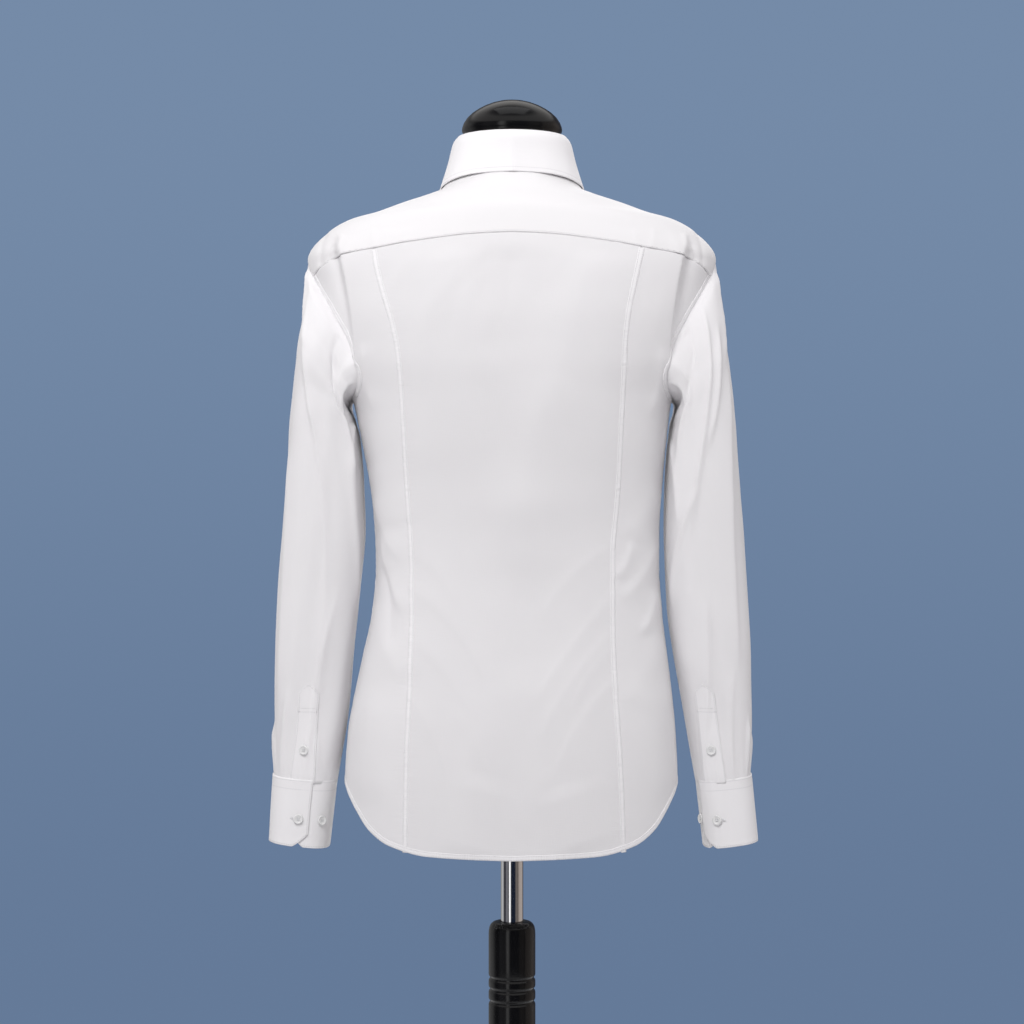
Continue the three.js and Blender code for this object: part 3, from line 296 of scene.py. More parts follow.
chrome, chrome_shade = material("polished_chrome")
chrome_lines = noise(stretched(spot_of(chrome_shade), (900, 900, 25)), 1.0)
plug(chrome_shade, Base_Color=(0.72, 0.72, 0.73, 1), Metallic=1.0,
     Roughness=chrome_lines * 0.1 + 0.08)
POLE = [(0, 230), (11.9, 230), (12.5, 230.6), (12.5, 763.4), (11.9, 764), (0, 764)]
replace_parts(turned("chrome_pole", POLE, (0, 0, 0), "height_pole", "chrome", chrome), "pole")

# Form: a limbless body, whole and smooth, which carries the shirt and sits on the pole's top.
# It is moulded hard and covered with off-white jersey, stretched over it.
jersey, jersey_shade = material("jersey_cover")
jersey_spot = spot_of(jersey_shade)
jersey_rib = jersey_shade.node("ShaderNodeTexWave", {"bands_direction": "X"},
                               {"Vector": jersey_spot, "Scale": 260.0, "Distortion": 1.5})
jersey_mottle = noise(jersey_spot, 60.0, 4.0)
jersey_tone = blend(jersey_mottle, (0.62, 0.6, 0.57, 1), (0.7, 0.69, 0.66, 1))
jersey_bump = relief(jersey_rib, 0.3, 0.0004)
plug(jersey_shade, Base_Color=jersey_tone, Roughness=jersey_mottle * 0.1 + 0.75,
     Normal=jersey_bump)
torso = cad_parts["torso"]
torso.data.materials.clear()
torso.data.materials.append(jersey)

# Neck cap: a domed wooden cap, turned with a groove above its rim and lacquered black.
# It is pinned on the flat top of the form's neck and is a little deeper across than from front to back.
CAP = [(0, 1378), (50.8, 1378), (52.6, 1378.8), (53.8, 1380.6), (54.6, 1385), (55, 1390.4), (54.4, 1391.9),
       (53.9, 1393), (54.2, 1394.6), (55.3, 1396), (55.6, 1398), (55.1, 1401), (53.3, 1405.6),
       (49.6, 1411.2), (44.4, 1416.2), (38, 1420.6), (31, 1424.4), (23, 1427.6), (15, 1429.8), (7, 1431),
       (0, 1431.3)]
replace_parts(turned("domed_cap", CAP, (0, 3, 0), "figure", "black_gloss", black_lacquer, squash=0.89),
            "neck_cap")

# Back panels: white cotton poplin, cut as a middle and two sides and joined by flat-felled princess seams.
# Every panel lies on one worn form. Its angle goes from the wearer's left side round the back, in degrees,
# and its run is the distance in millimetres up the side and then over the shoulder.
SIDES = {1: "left", -1: "right"}
CLOTH_THICKNESS = 1.2
ARMPIT_RUN = 1100
SHOULDER_RUN = 1254
NECK_RUN = 1434
BACK_CORNER_RUN = 1232
FRONT_CORNER_RUN = 1240
NECK_SEAM_ANGLE = -40
LAP_HALF_WIDTH = 16
LAP_LIFT = 1.15
LAP_BLEND = 55


def table(names, *rows):
    """Rows of numbers under named columns."""
    return dict(zip(names.split(), np.array(rows, float).T))


BODY = table(
    "run height left right back front rise drop power",
    (600, 600, 184, 183, 127, 128, 0, 0, 2.3),
    (680, 680, 184, 183, 126, 127, 0, 0, 2.3),
    (731, 731, 181, 181, 123, 125, 0, 0, 2.3),
    (800, 800, 168, 173, 115, 121, 0, 0, 2.3),
    (867, 867, 154, 165, 107, 118, 0, 0, 2.3),
    (914, 914, 150, 162, 103, 117, 0, 0, 2.3),
    (952, 952, 151, 162, 102, 117, 0, 0, 2.3),
    (1000, 1000, 156, 165, 105, 120, 0, 0, 2.3),
    (1054, 1054, 166, 171, 112, 126, 0, 0, 2.35),
    (1100, 1100, 176, 177, 117, 130, 0, 0, 2.4),
    (1140, 1140, 192, 192, 120, 128, 0, 0, 2.5),
    (1180, 1180, 205, 205, 121, 122, 0, 4, 2.5),
    (1220, 1220, 217, 217, 118, 113, 1, 12, 2.45),
    (1254, 1254, 225, 225, 112, 103, 3, 25, 2.4),
    (1276, 1274, 214, 214, 106, 97, 6, 34, 2.35),
    (1312, 1295, 184, 184, 98, 88, 8, 43, 2.3),
    (1340, 1303, 157, 157, 90, 81, 10, 40, 2.2),
    (1373, 1314, 126, 126, 81, 72, 12, 36, 2.15),
    (1397, 1321.5, 101, 101, 73, 65, 14, 36, 2.1),
    (1417, 1329, 81, 81, 66, 60, 15, 38, 2.05),
    (1434, 1350, 66, 66, 59, 56, 4, 50, 2.05),
)
ARMHOLE = table(
    "run back front",
    (1100, 0, 0), (1112, 13, 16), (1130, 21, 26), (1156, 22, 27), (1188, 16, 21), (1220, 7, 10),
    (1232, 4, 6), (1254, 0, 0),
)
PRINCESS = table(
    "run left right",
    (600, 114, 119), (711, 112.5, 114.5), (790, 109, 109.5), (859, 107.5, 107.5), (924, 108, 107.5),
    (996, 112.5, 113), (1068, 116.5, 116), (1123, 119.5, 118.5), (1152, 122.5, 119.5), (1180, 128.5, 122),
    (1207, 136.5, 127), (1235, 144, 133.5), (1262, 149, 140),
)
YOKE_SEAM = table("angle run", (8, 1232), (23, 1252), (33, 1257), (42, 1261.5), (66, 1267), (90, 1268.5))
HEM_BACK = table("angle height", (0, 678.5), (8, 675), (15, 664), (21, 650), (28, 632), (37, 618.5),
                 (52, 610), (90, 607))
HEM_FRONT = table("angle height", (0, 678.5), (8, 676), (15, 668), (22, 656), (31, 643), (45, 634),
                  (90, 630))
BACK_FOLD = table("run crest depth trough", (1085, 167, 0, 0), (1112, 168, 5, 0), (1160, 171, 8, 2),
                  (1190, 174, 9, 4), (1222, 179, 9, 6.5), (1246, 184, 8, 6.5), (1262, 187, 4, 2),
                  (1284, 190, 0, 0))
BACK_FOLD_SOFTNESS = 5
BACK_FOLD_BULGE = 0.2
BACK_FOLD_CREST = 0.5
BACK_FOLD_INSIDE = 2.2
BACK_FOLD_TROUGH = 0.8
BACK_FOLD_START = 5


def smooth(t):
    t = np.clip(t, 0, 1)
    return t * t * (3 - 2 * t)


def mix(a, b, t):
    return a + (b - a) * t


def read(rows, at, column):
    """Smooth value of a column where a table's first one is at, by a cubic that doesn't overshoot."""
    x, y = next(iter(rows.values())), rows[column]
    at = np.clip(at, x[0], x[-1])
    i = np.clip(np.searchsorted(x, at, side="right") - 1, 0, len(x) - 2)
    secant = np.diff(y) / np.diff(x)
    before, after = secant[:-1], secant[1:]
    total = np.where(before * after > 0, before + after, 1)
    inner = np.where(before * after > 0, 2 * before * after / total, 0)
    slope = np.concatenate(([secant[0]], inner, [secant[-1]]))
    span = x[i + 1] - x[i]
    t = (at - x[i]) / span
    a, b, ma, mb = y[i], y[i + 1], slope[i] * span, slope[i + 1] * span
    return a + t * (ma + t * (3 * (b - a) - 2 * ma - mb + t * (2 * (a - b) + ma + mb)))


def cos_sin(angle):
    return np.cos(np.radians(angle)), np.sin(np.radians(angle))


def on_side(angle, side):
    """An angle of the left side, carried over to the right one when side is -1."""
    return angle if side > 0 else 180 - angle


def body_point(angle, run):
    """A point of the smooth worn form, with the long fold that stands down each side of the back."""
    c, s = cos_sin(angle)
    power = read(BODY, run, "power")
    width = np.where(c >= 0, read(BODY, run, "left"), read(BODY, run, "right"))
    depth = np.where(s >= 0, read(BODY, run, "back"), read(BODY, run, "front"))
    tilt = np.where(s >= 0, read(BODY, run, "rise"), -read(BODY, run, "drop"))
    reach = (np.abs(c / width) ** power + np.abs(s / depth) ** power) ** (-1 / power)
    x, y, z = reach * c, reach * s, read(BODY, run, "height") + tilt * s * s
    past = (np.abs(x) - read(BACK_FOLD, run, "crest")) / BACK_FOLD_SOFTNESS
    outside, inside = np.maximum(past, 0), np.minimum(past, 0)
    set_back = 1 - np.exp(-outside / BACK_FOLD_CREST)
    set_back = set_back - BACK_FOLD_BULGE * np.exp(inside / BACK_FOLD_INSIDE - outside / BACK_FOLD_CREST)
    hollow = outside / BACK_FOLD_TROUGH * np.exp(1 - outside / BACK_FOLD_TROUGH)
    fold = read(BACK_FOLD, run, "depth") * set_back + read(BACK_FOLD, run, "trough") * hollow
    y = y - fold * smooth(s * BACK_FOLD_START)
    return np.stack([x, y, z], axis=-1)


def unit(vectors):
    return vectors / np.linalg.norm(vectors, axis=-1, keepdims=True)


def body_normal(angle, run):
    """The way outwards from the worn form."""
    across = body_point(angle + 1, run) - body_point(angle - 1, run)
    up = body_point(angle, np.minimum(run + 2, NECK_RUN)) - body_point(angle, run - 2)
    return unit(np.cross(across, up))


def angle_at(distance, run, face, side):
    """The angle at which a ring of the body is a distance from the centre line."""
    power = read(BODY, run, "power")
    width = read(BODY, run, SIDES[side])
    share = np.minimum(np.abs(distance) / width, 1)
    along = read(BODY, run, face) * (1 - share ** power) ** (1 / power)
    angle = np.degrees(np.arctan2(along, np.abs(distance)))
    return angle if face == "back" else -angle


def armhole(turn, face):
    """The armhole seam of the left side, by turn from 180 at the armpit to 0 at the shoulder point."""
    run = mix(ARMPIT_RUN, SHOULDER_RUN, (1 + np.cos(np.radians(turn))) / 2)
    width = read(BODY, run, "left") - read(ARMHOLE, run, face)
    return angle_at(width, run, face, 1), run


def corner_turn(run):
    """The armhole's turn at the height where the yoke's seam meets it."""
    return math.degrees(math.acos(2 * (run - ARMPIT_RUN) / (SHOULDER_RUN - ARMPIT_RUN) - 1))


BACK_CORNER_TURN = corner_turn(BACK_CORNER_RUN)
FRONT_CORNER_TURN = corner_turn(FRONT_CORNER_RUN)


def princess(run, side):
    """The angle of a princess seam."""
    return angle_at(read(PRINCESS, run, SIDES[side]), run, "back", side)


def princess_top(side):
    run = np.array(SHOULDER_RUN, float)
    for _ in range(6):
        run = read(YOKE_SEAM, princess(run, side), "run")
    return float(run)


def hem_run(angle):
    """The shirt-tail hem, by angle from either side seam."""
    folded = np.where(angle > 90, 180 - angle, np.where(angle < -90, -180 - angle, angle))
    back = read(HEM_BACK, np.abs(folded), "height")
    return np.where(folded >= 0, back, read(HEM_FRONT, np.abs(folded), "height"))


def wobble(at, spacing, seed):
    """Soft uneven waves from -1 to 1."""
    values = np.random.default_rng(seed).uniform(-1, 1, 4096)
    low = np.floor(at / spacing).astype(int)
    share = smooth(at / spacing - low)
    return mix(values[low % 4096], values[(low + 1) % 4096], share)


# Creases of the back and the fronts: soft ridges and troughs between two ends, in millimetres.
# soft is how much gentler the lower side is than the upper one, bow how far its middle is carried sideways.
CREASE = "x1 z1 x2 z2 width depth soft bow"
BACK_CREASES = table(
    CREASE,
    (66, 1262, 26, 1120, 12, 1.5, 2.2, 4), (24, 1130, 8, 930, 15, 2.2, 2.0, -5),
    (-84, 1255, -40, 1090, 13, 1.7, 2.0, -5), (-36, 1100, -12, 905, 14, 2.1, 2.1, 6),
    (0, 1255, -3, 1010, 26, -2.8, 1.2, 3), (12, 960, -8, 800, 22, -1.8, 1.6, -4),
    (-107, 886, -24, 776, 4.5, 0.62, 3.0, 3), (-106, 846, -34, 750, 5, 0.55, 3.0, 4),
    (-110, 796, -48, 706, 4.5, 0.6, 3.0, 7), (-100, 936, -34, 868, 5, 0.5, 2.6, 7),
    (-104, 826, -66, 770, 3.5, 0.45, 2.6, 5), (106, 892, 30, 800, 5, 0.6, 3.0, -9),
    (107, 838, 40, 752, 5, 0.55, 3.0, -8), (109, 778, 70, 700, 4.5, 0.5, 2.6, -4),
    (104, 930, 62, 880, 4, 0.4, 2.6, -5), (60, 760, 20, 690, 6, 0.4, 2.6, -4),
    (-40, 700, -8, 640, 7, 0.4, 2.4, 3), (140, 946, 120, 872, 5, 1.9, 2.6, 4),
    (139, 914, 131, 832, 5, -1.6, 1.8, -3), (148, 988, 122, 926, 6, 1.4, 2.2, 4),
    (152, 1020, 128, 962, 7, 1.1, 2.2, 4), (146, 870, 118, 800, 7, 1.2, 2.2, 5),
    (-128, 940, -112, 906, 4.5, 1.6, 2.4, -3), (-154, 886, -140, 846, 5, 1.8, 2.2, -3),
    (-156, 940, -120, 884, 6, 1.4, 2.3, -5), (-158, 1000, -124, 950, 7, 1.2, 2.2, -5),
    (-160, 836, -124, 772, 8, 1.1, 2.2, -5), (88, 1235, 92, 1010, 9, 0.8, 1.6, 3),
    (-96, 1230, -90, 1000, 10, 0.8, 1.6, -4), (-52, 680, -70, 618, 13, 1.4, 1.6, 2),
    (34, 690, 52, 616, 14, 1.3, 1.6, -2), (150, 770, 158, 670, 8, 1.2, 1.8, 2),
    (-148, 780, -160, 672, 8, 1.3, 1.8, -2), (160, 1150, 150, 1090, 6, 1.5, 2.0, 3),
    (-160, 1146, -150, 1084, 6, 1.6, 2.0, -3),
)
FRONT_CREASES = table(
    CREASE,
    (150, 1128, 40, 1020, 6.5, 2.0, 2.4, 6), (158, 1070, 104, 1010, 5, 1.3, 2.2, 4),
    (-152, 1110, -84, 1076, 5, 1.6, 2.2, -4), (-160, 1084, -70, 960, 7, 1.9, 2.4, -9),
    (150, 960, 84, 916, 5, 1.5, 2.3, -3), (146, 915, 38, 790, 7, 1.9, 2.4, -8),
    (150, 868, 112, 820, 5, 1.2, 2.2, -3), (-156, 950, -44, 850, 7, 2.0, 2.4, 8),
    (-154, 886, -108, 846, 5, 1.3, 2.2, 3), (-150, 842, -90, 760, 6, 1.2, 2.2, 4),
    (96, 1230, 52, 1120, 8.1, 1.7, 1.8, -5), (-98, 1226, -54, 1090, 9, 1.9, 1.8, 5),
    (60, 800, 44, 660, 7.4, 1.4, 1.8, 4), (-66, 770, -48, 634, 7.4, 1.6, 1.8, -4),
    (30, 1150, 34, 960, 5, 1.0, 1.6, 3), (-34, 1080, -38, 930, 5, 1.1, 1.6, -3),
    (120, 760, 132, 640, 6.2, 1.5, 1.8, 3), (-124, 740, -134, 630, 6.2, 1.6, 1.8, -3),
)
CREASE_STRENGTH = 1.5
CREASE_FALL = 1.4
CREASE_END = 0.3
CREST_FINE, CREST_SOFT = 0.3, 1.6
SOFT_FROM_WIDTH = 6.5


def creases(x, z, rows):
    """The height of a table of creases over a flat place, steep on one side and faded at the ends."""
    lift = np.zeros_like(x)
    for x1, z1, x2, z2, width, depth, soft, bow in zip(*rows.values()):
        run = np.hypot(x2 - x1, z2 - z1)
        along = ((x - x1) * (x2 - x1) + (z - z1) * (z2 - z1)) / run ** 2
        across = ((x - x1) * (z2 - z1) - (z - z1) * (x2 - x1)) / run + bow * 4 * along * (1 - along)
        spread = np.where(across < 0, width, width * soft)
        ends = smooth(along / CREASE_END + 0.5) * smooth((1 - along) / CREASE_END + 0.5)
        crest = CREST_FINE if width < SOFT_FROM_WIDTH else CREST_SOFT
        lift += depth * ends * np.exp(CREASE_FALL * (crest - np.sqrt((across / spread) ** 2 + crest ** 2)))
    return lift * CREASE_STRENGTH


def seam_pucker(distance, run, reach, height, seed):
    """Small uneven puckers that a sewn seam draws in the cloth beside it."""
    waves = 0.65 * wobble(run, 7.0, seed) + 0.35 * wobble(run, 3.6, seed + 1)
    return height * waves * np.exp(-(distance / reach) ** 2)


def body_lift(angle, run):
    """How far the creases and puckers carry the cloth out from the worn form."""
    point = body_point(angle, run)
    x, z, back = point[..., 0], point[..., 2], np.sin(np.radians(angle))
    hold = smooth((1262 - run) / 24) * smooth((run - 596) / 40 + 0.4)
    lift = creases(x, z, BACK_CREASES) * smooth(back * 4) + creases(x, z, FRONT_CREASES) * smooth(-back * 4)
    lift = lift + 0.35 * wobble(x + 0.2 * z, 13, 5) * smooth((run - 1120) / 120) * smooth(back * 4)
    lift = lift + mix(1.25, 0.9, smooth(back * 4 + 0.5)) * wobble(x * 0.8 + 60 * wobble(z, 160, 3), 34, 9)
    lift = lift + 0.5 * wobble(x + 26 * wobble(z, 70, 21), 16, 22) * wobble(z + 0.3 * x, 62, 23)
    seam = np.where(x > 0, read(PRINCESS, run, "left"), read(PRINCESS, run, "right"))
    sewn = seam_pucker(np.abs(x) - seam, run, 7, 0.2, 11) * smooth(back * 4)
    seam_angle = np.abs(np.where(x > 0, angle, 180 - np.abs(angle)))
    sewn = sewn + seam_pucker(seam_angle * 2.6, run, 8, 0.3, 15)
    return (lift + sewn) * hold


def shirt_point(angle, run):
    """A point of the worn cloth with its creases, and the way outwards there."""
    normal = body_normal(angle, run)
    return body_point(angle, run) + normal * body_lift(angle, run)[..., None], normal


def patch(u, v, bottom, top, near, far):
    """Angle and run inside a patch between four seams, each a function that gives an angle and a run."""
    sides = bottom(u), top(u), near(v), far(v)
    ends = bottom(u * 0), bottom(u * 0 + 1), top(u * 0), top(u * 0 + 1)
    return [mix(sides[0][k], sides[1][k], v) + mix(sides[2][k], sides[3][k], u)
            - mix(mix(ends[0][k], ends[1][k], u), mix(ends[2][k], ends[3][k], u), v) for k in (0, 1)]


STITCH_LENGTH = 0.0026


def cotton(name, light, dark, roughness, weave, pucker):
    """White poplin: fine warp and weft, soft mottling, puckers and sewing where the cloth is sewn, with
    painted shade along the sewn lines.
    """
    made, shade = material(name)
    lay = shade.node("ShaderNodeUVMap", {"uv_map": "cloth"}, {})
    warp, weft = [noise(stretched(lay, scale), 1.0, 1.0) for scale in ((1700, 90, 1), (90, 1700, 1))]
    threads = warp + weft
    mottle = noise(lay, 14.0, 5.0, 0.6)
    sewn, pace, near = [shade.node("ShaderNodeAttribute", {"attribute_name": layer}, {}, "Fac")
                        for layer in ("sewn", "pace", "near")]
    line = fade(shade.sum("ABSOLUTE", sewn), 0.00022, 0.00055, 1.0, 0.0)
    beat = shade.sum("SINE", pace * (2 * math.pi / STITCH_LENGTH))
    thread = line * fade(beat, -0.75, -0.3, way="LINEAR")
    drawn = noise(stretched(lay, (60, 260, 1)), 1.0, 3.0)
    tone = blend(mottle * 0.7 + threads * 0.2, light, dark)
    # Painted shade: the colour darkens along each sewn line, most in the gaps between stitches, for the
    # shade of the sunken line.
    tone = blend((line - thread) * 0.4 + line * 0.1, tone, (0.5, 0.5, 0.53, 1))
    bump = relief(threads * weave + drawn * near * pucker + thread * 0.00024 - line * 0.0002, 1.0, 1.0)
    plug(shade, Base_Color=tone, Roughness=mottle * 0.08 + roughness, Normal=bump,
         Sheen_Weight=0.12, Sheen_Roughness=0.5, Specular_IOR_Level=0.3)
    return made


poplin = cotton("white_poplin", (0.85, 0.84, 0.85, 1), (0.805, 0.795, 0.81, 1), 0.74, 0.00006, 0.0005)


def cloth(name, node, columns, rows, shape, finish, thickness=CLOTH_THICKNESS, closed=False):
    """A sewn piece from a grid of cloth. shape gives each thread crossing's place and what is sewn there."""
    bm = bmesh.new()
    bmesh.ops.create_grid(bm, x_segments=columns, y_segments=rows, size=0.5)
    mesh = bpy.data.meshes.new(name)
    bm.to_mesh(mesh)
    bm.free()
    count = len(mesh.vertices)
    flat = np.empty(count * 3)
    mesh.vertices.foreach_get("co", flat)
    share = flat.reshape(-1, 3) + 0.5
    made = shape(share[:, 0], share[:, 1])
    mesh.vertices.foreach_set("co", (made["point"] * MILLI).ravel())
    for layer, unsewn, unit_size in (("sewn", 1000.0, MILLI), ("pace", 0.0, MILLI), ("near", 0.0, 1.0)):
        values = np.broadcast_to(made.get(layer, unsewn) * np.array(unit_size), count)
        mesh.attributes.new(layer, "FLOAT", "POINT").data.foreach_set("value", values.astype(float))
    corners = np.empty(len(mesh.loops), int)
    mesh.loops.foreach_get("vertex_index", corners)
    lay = made["lay"] * MILLI
    mesh.uv_layers.new(name="cloth").data.foreach_set("uv", lay[corners].ravel())
    mesh.update()
    if closed:
        bm = bmesh.new()
        bm.from_mesh(mesh)
        bmesh.ops.remove_doubles(bm, verts=bm.verts, dist=1e-5)
        bm.to_mesh(mesh)
        bm.free()
    middle = mesh.polygons[len(mesh.polygons) // 2]
    nearest = np.argmin(np.linalg.norm(made["point"] * MILLI - np.array(middle.center), axis=1))
    if np.dot(np.array(middle.normal), made["normal"][nearest]) < 0:
        mesh.flip_normals()
    mesh.polygons.foreach_set("use_smooth", np.ones(len(mesh.polygons), bool))
    made_piece = piece(name, mesh, "figure", "white_cotton", finish)
    wall = made_piece.modifiers.new("thickness", "SOLIDIFY")
    wall.thickness = thickness * MILLI
    wall.offset = -1
    if node:
        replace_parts(made_piece, node)
    return made_piece


def pair(name, node, columns, rows, shape, finish, **more):
    """The left and the right one of a piece of cloth."""
    return [cloth(name + word, node + word, columns, rows, shape(side), finish, **more)
            for side, word in SIDES.items()]


def side_top(u, side):
    top = princess_top(side)
    angle = mix(princess(top, side), armhole(BACK_CORNER_TURN, "back")[0], u)
    return angle, np.where(u >= 1, BACK_CORNER_RUN, read(YOKE_SEAM, angle, "run"))


LOWER_SHARE = 0.62


def panel_rows(v):
    """Splits the height of a panel at the armpit, with the rows closer at the hem."""
    lower = np.clip(v / LOWER_SHARE, 0, 1)
    upper = np.clip((v - LOWER_SHARE) / (1 - LOWER_SHARE), 0, 1)
    return v <= LOWER_SHARE, lower * (0.55 + 0.45 * lower), upper


def panel_place(u, v, near_at, far_at, top, near, far):
    """Angle and run on a panel: between two seams up to the armpit, and inside a patch above it."""
    low, lower, upper = panel_rows(v)
    angle = mix(near_at(ARMPIT_RUN + 0 * u), far_at(ARMPIT_RUN + 0 * u), u)
    for _ in range(5):
        run = mix(hem_run(angle), ARMPIT_RUN, lower)
        angle = mix(near_at(run), far_at(run), u)

    def bottom(t):
        level = ARMPIT_RUN + 0 * t
        return mix(near_at(level), far_at(level), t), level

    above = patch(u, upper, bottom, top, near, far)
    return np.where(low, angle, above[0]), np.where(low, run, above[1])


def upwards(angle_of, top_run):
    """The part of a seam between the armpit's level and a run above it."""
    def edge(t):
        run = mix(ARMPIT_RUN, top_run, t)
        return angle_of(run), run
    return edge


def left_princess(run):
    return princess(run, 1)


def right_princess(run):
    return 180 - princess(run, -1)


def centre_back(u, v):
    left_top, right_top = princess_top(1), princess_top(-1)

    def top(t):
        angle = mix(left_princess(left_top), right_princess(right_top), t)
        return angle, read(YOKE_SEAM, np.minimum(angle, 180 - angle), "run")

    angle, run = panel_place(u, v, left_princess, right_princess, top,
                             upwards(left_princess, left_top), upwards(right_princess, right_top))
    point, normal = shirt_point(angle, run)
    edge = np.minimum(u, 1 - u) * 225
    return {"point": point, "normal": normal, "lay": point[:, [0, 2]], "near": np.exp(-(edge / 9) ** 2)}


def side_back(side):
    def seam(run):
        return princess(run, side)

    def shape(u, v):
        angle, run = panel_place(u, v, seam, lambda run: 0, lambda t: side_top(t, side),
                                 upwards(seam, princess_top(side)),
                                 lambda t: armhole(mix(180, BACK_CORNER_TURN, t), "back"))
        point, normal = shirt_point(on_side(angle, side), run)
        edge = np.minimum(u, 1 - u) * 80
        return {"point": point, "normal": normal, "lay": point[:, [0, 2]], "near": np.exp(-(edge / 9) ** 2)}
    return shape


# The centre back's poplin is a darker copy of the side panels' one: painted shade over the middle of the
# back.
shaded_back_poplin = cotton("shaded_back_poplin", (0.8, 0.79, 0.8, 1), (0.755, 0.745, 0.76, 1), 0.74, 0.00006, 0.0005)
back_panel = cloth("centre_back_panel", "back_centre", 100, 220, centre_back, shaded_back_poplin)
side_poplin = cotton("side_poplin", (0.82, 0.81, 0.82, 1), (0.775, 0.765, 0.78, 1), 0.74, 0.00006, 0.0005)
side_panels = pair("side_back_panel_", "back_side_", 44, 190, side_back, side_poplin)

# Fronts: two panels of the same poplin, from the neckline to the curved hem.
# They are sewn to the yoke and the side backs, and the wearer's left one laps over the right one.
FRONT_NECK_COLUMNS = 5
YOKE_SHARES = [0, 0.2, 0.42, 0.64, 0.8, 0.91, 1]
YOKE_ROWS = len(YOKE_SHARES) - 1
FRONT_COLUMNS = FRONT_NECK_COLUMNS + YOKE_ROWS
NECK_SHARE = FRONT_NECK_COLUMNS / FRONT_COLUMNS
LAP_SHARE = 0.13


def front_place(distance, run):
    """The angle at a distance from the centre line, towards the wearer's left if above 0."""
    angle = angle_at(np.abs(distance), run, "front", 1)
    return np.where(distance >= 0, angle, -180 - angle), run


def front_top(u):
    corner = armhole(FRONT_CORNER_TURN, "front")
    lap = front_place(LAP_HALF_WIDTH + 0 * u, NECK_RUN + 0 * u)
    t = np.clip(u / NECK_SHARE, 0, 1)
    share = np.interp(YOKE_ROWS - (u - NECK_SHARE) * FRONT_COLUMNS, range(YOKE_ROWS + 1), YOKE_SHARES)
    neck = u <= NECK_SHARE
    angle = np.where(neck, mix(lap[0], NECK_SEAM_ANGLE, t), mix(corner[0], NECK_SEAM_ANGLE, share))
    return angle, np.where(neck, NECK_RUN, mix(corner[1], NECK_RUN, share))


def neckwards(v):
    return v * (1.25 - 0.25 * v)


def front_edge_run(v):
    """The run of the straight front edge, from the hem to the neckline."""
    low, lower, upper = panel_rows(v)
    below = mix(hem_run(np.array(-90.0)), ARMPIT_RUN, lower)
    return np.where(low, below, mix(ARMPIT_RUN, NECK_RUN, neckwards(upper)))


def front(side):
    def edge_angle(run):
        return front_place(LAP_HALF_WIDTH, run)[0]

    def edge(t):
        return front_place(LAP_HALF_WIDTH, mix(ARMPIT_RUN, NECK_RUN, neckwards(t)))

    def shape(across, v):
        u = np.clip((across - LAP_SHARE) / (1 - LAP_SHARE), 0, 1)
        angle, run = panel_place(u, v, edge_angle, lambda run: 0, front_top, edge,
                                 lambda t: armhole(mix(180, FRONT_CORNER_TURN, t), "front"))
        distance = mix(-LAP_HALF_WIDTH, LAP_HALF_WIDTH, np.clip(across / LAP_SHARE, 0, 1))
        lap = front_place(distance, front_edge_run(v))
        angle, run = np.where(across < LAP_SHARE, lap, (angle, run))
        point, normal = shirt_point(on_side(angle, side), run)
        lapped = 1 - smooth((np.abs(point[:, 0]) - LAP_HALF_WIDTH) / LAP_BLEND)
        point = point + normal * (side * LAP_LIFT * lapped)[:, None]
        return {"point": point, "normal": normal, "lay": point[:, [0, 2]],
                "near": np.exp(-((1 - u) * 20) ** 2)}
    return shape


front_panels = pair("front_panel_", "front_", 76, 190, front, side_poplin)

# Yoke: one piece of poplin over both shoulders, from the neckline down to the back and the fronts.
# It laps over them with its edge folded under, and is edge-stitched there.
YOKE_ARM_STEPS = 4
YOKE_SIDE_STEPS = 6
YOKE_CENTRE_STEPS = 8
YOKE_HALF_STEPS = YOKE_ARM_STEPS + YOKE_SIDE_STEPS
YOKE_LIFT = 0.7
STITCH_INSET = 1.8
YOKE_NECK = table("column angle", (0, NECK_SEAM_ANGLE), (2, -6), (4, 14), (10, 58))


def stitch_lines(*distances):
    """One signed distance for several lines of sewing, which changes sign at each."""
    nearest = np.min(np.abs(distances), axis=0)
    return nearest * np.prod(np.where(np.array(distances) < 0, -1, 1), axis=0)


def yoke_low(column, side):
    half = YOKE_ARM_STEPS / 2
    front_part = armhole(FRONT_CORNER_TURN * np.clip(1 - column / half, 0, 1), "front")
    back_part = armhole(BACK_CORNER_TURN * np.clip(column / half - 1, 0, 1), "back")
    seam = side_top(np.clip(1 - (column - YOKE_ARM_STEPS) / YOKE_SIDE_STEPS, 0, 1), side)
    behind = [np.where(column < YOKE_ARM_STEPS, back_part[k], seam[k]) for k in (0, 1)]
    return [np.where(column < half, front_part[k], behind[k]) for k in (0, 1)]


def yoke_column(column):
    """Angle and run of the yoke's seam, and the angle at the neckline, from the left front to the right."""
    left, right = yoke_low(column, 1), yoke_low(2 * YOKE_HALF_STEPS + YOKE_CENTRE_STEPS - column, -1)
    share = np.clip((column - YOKE_HALF_STEPS) / YOKE_CENTRE_STEPS, 0, 1)
    ends = [yoke_low(np.array(float(YOKE_HALF_STEPS)), side)[0] for side in (1, -1)]
    centre = mix(ends[0], 180 - ends[1], share)
    centre_run = read(YOKE_SEAM, np.minimum(centre, 180 - centre), "run")
    is_left, is_right = column <= YOKE_HALF_STEPS, column >= YOKE_HALF_STEPS + YOKE_CENTRE_STEPS
    low = np.where(is_left, left[0], np.where(is_right, 180 - right[0], centre))
    run = np.where(is_left, left[1], np.where(is_right, right[1], centre_run))
    neck_left = read(YOKE_NECK, column, "angle")
    neck_right = 180 - read(YOKE_NECK, 2 * YOKE_HALF_STEPS + YOKE_CENTRE_STEPS - column, "angle")
    last = YOKE_NECK["angle"][-1]
    neck = np.where(is_left, neck_left, np.where(is_right, neck_right, mix(last, 180 - last, share)))
    return low, run, neck


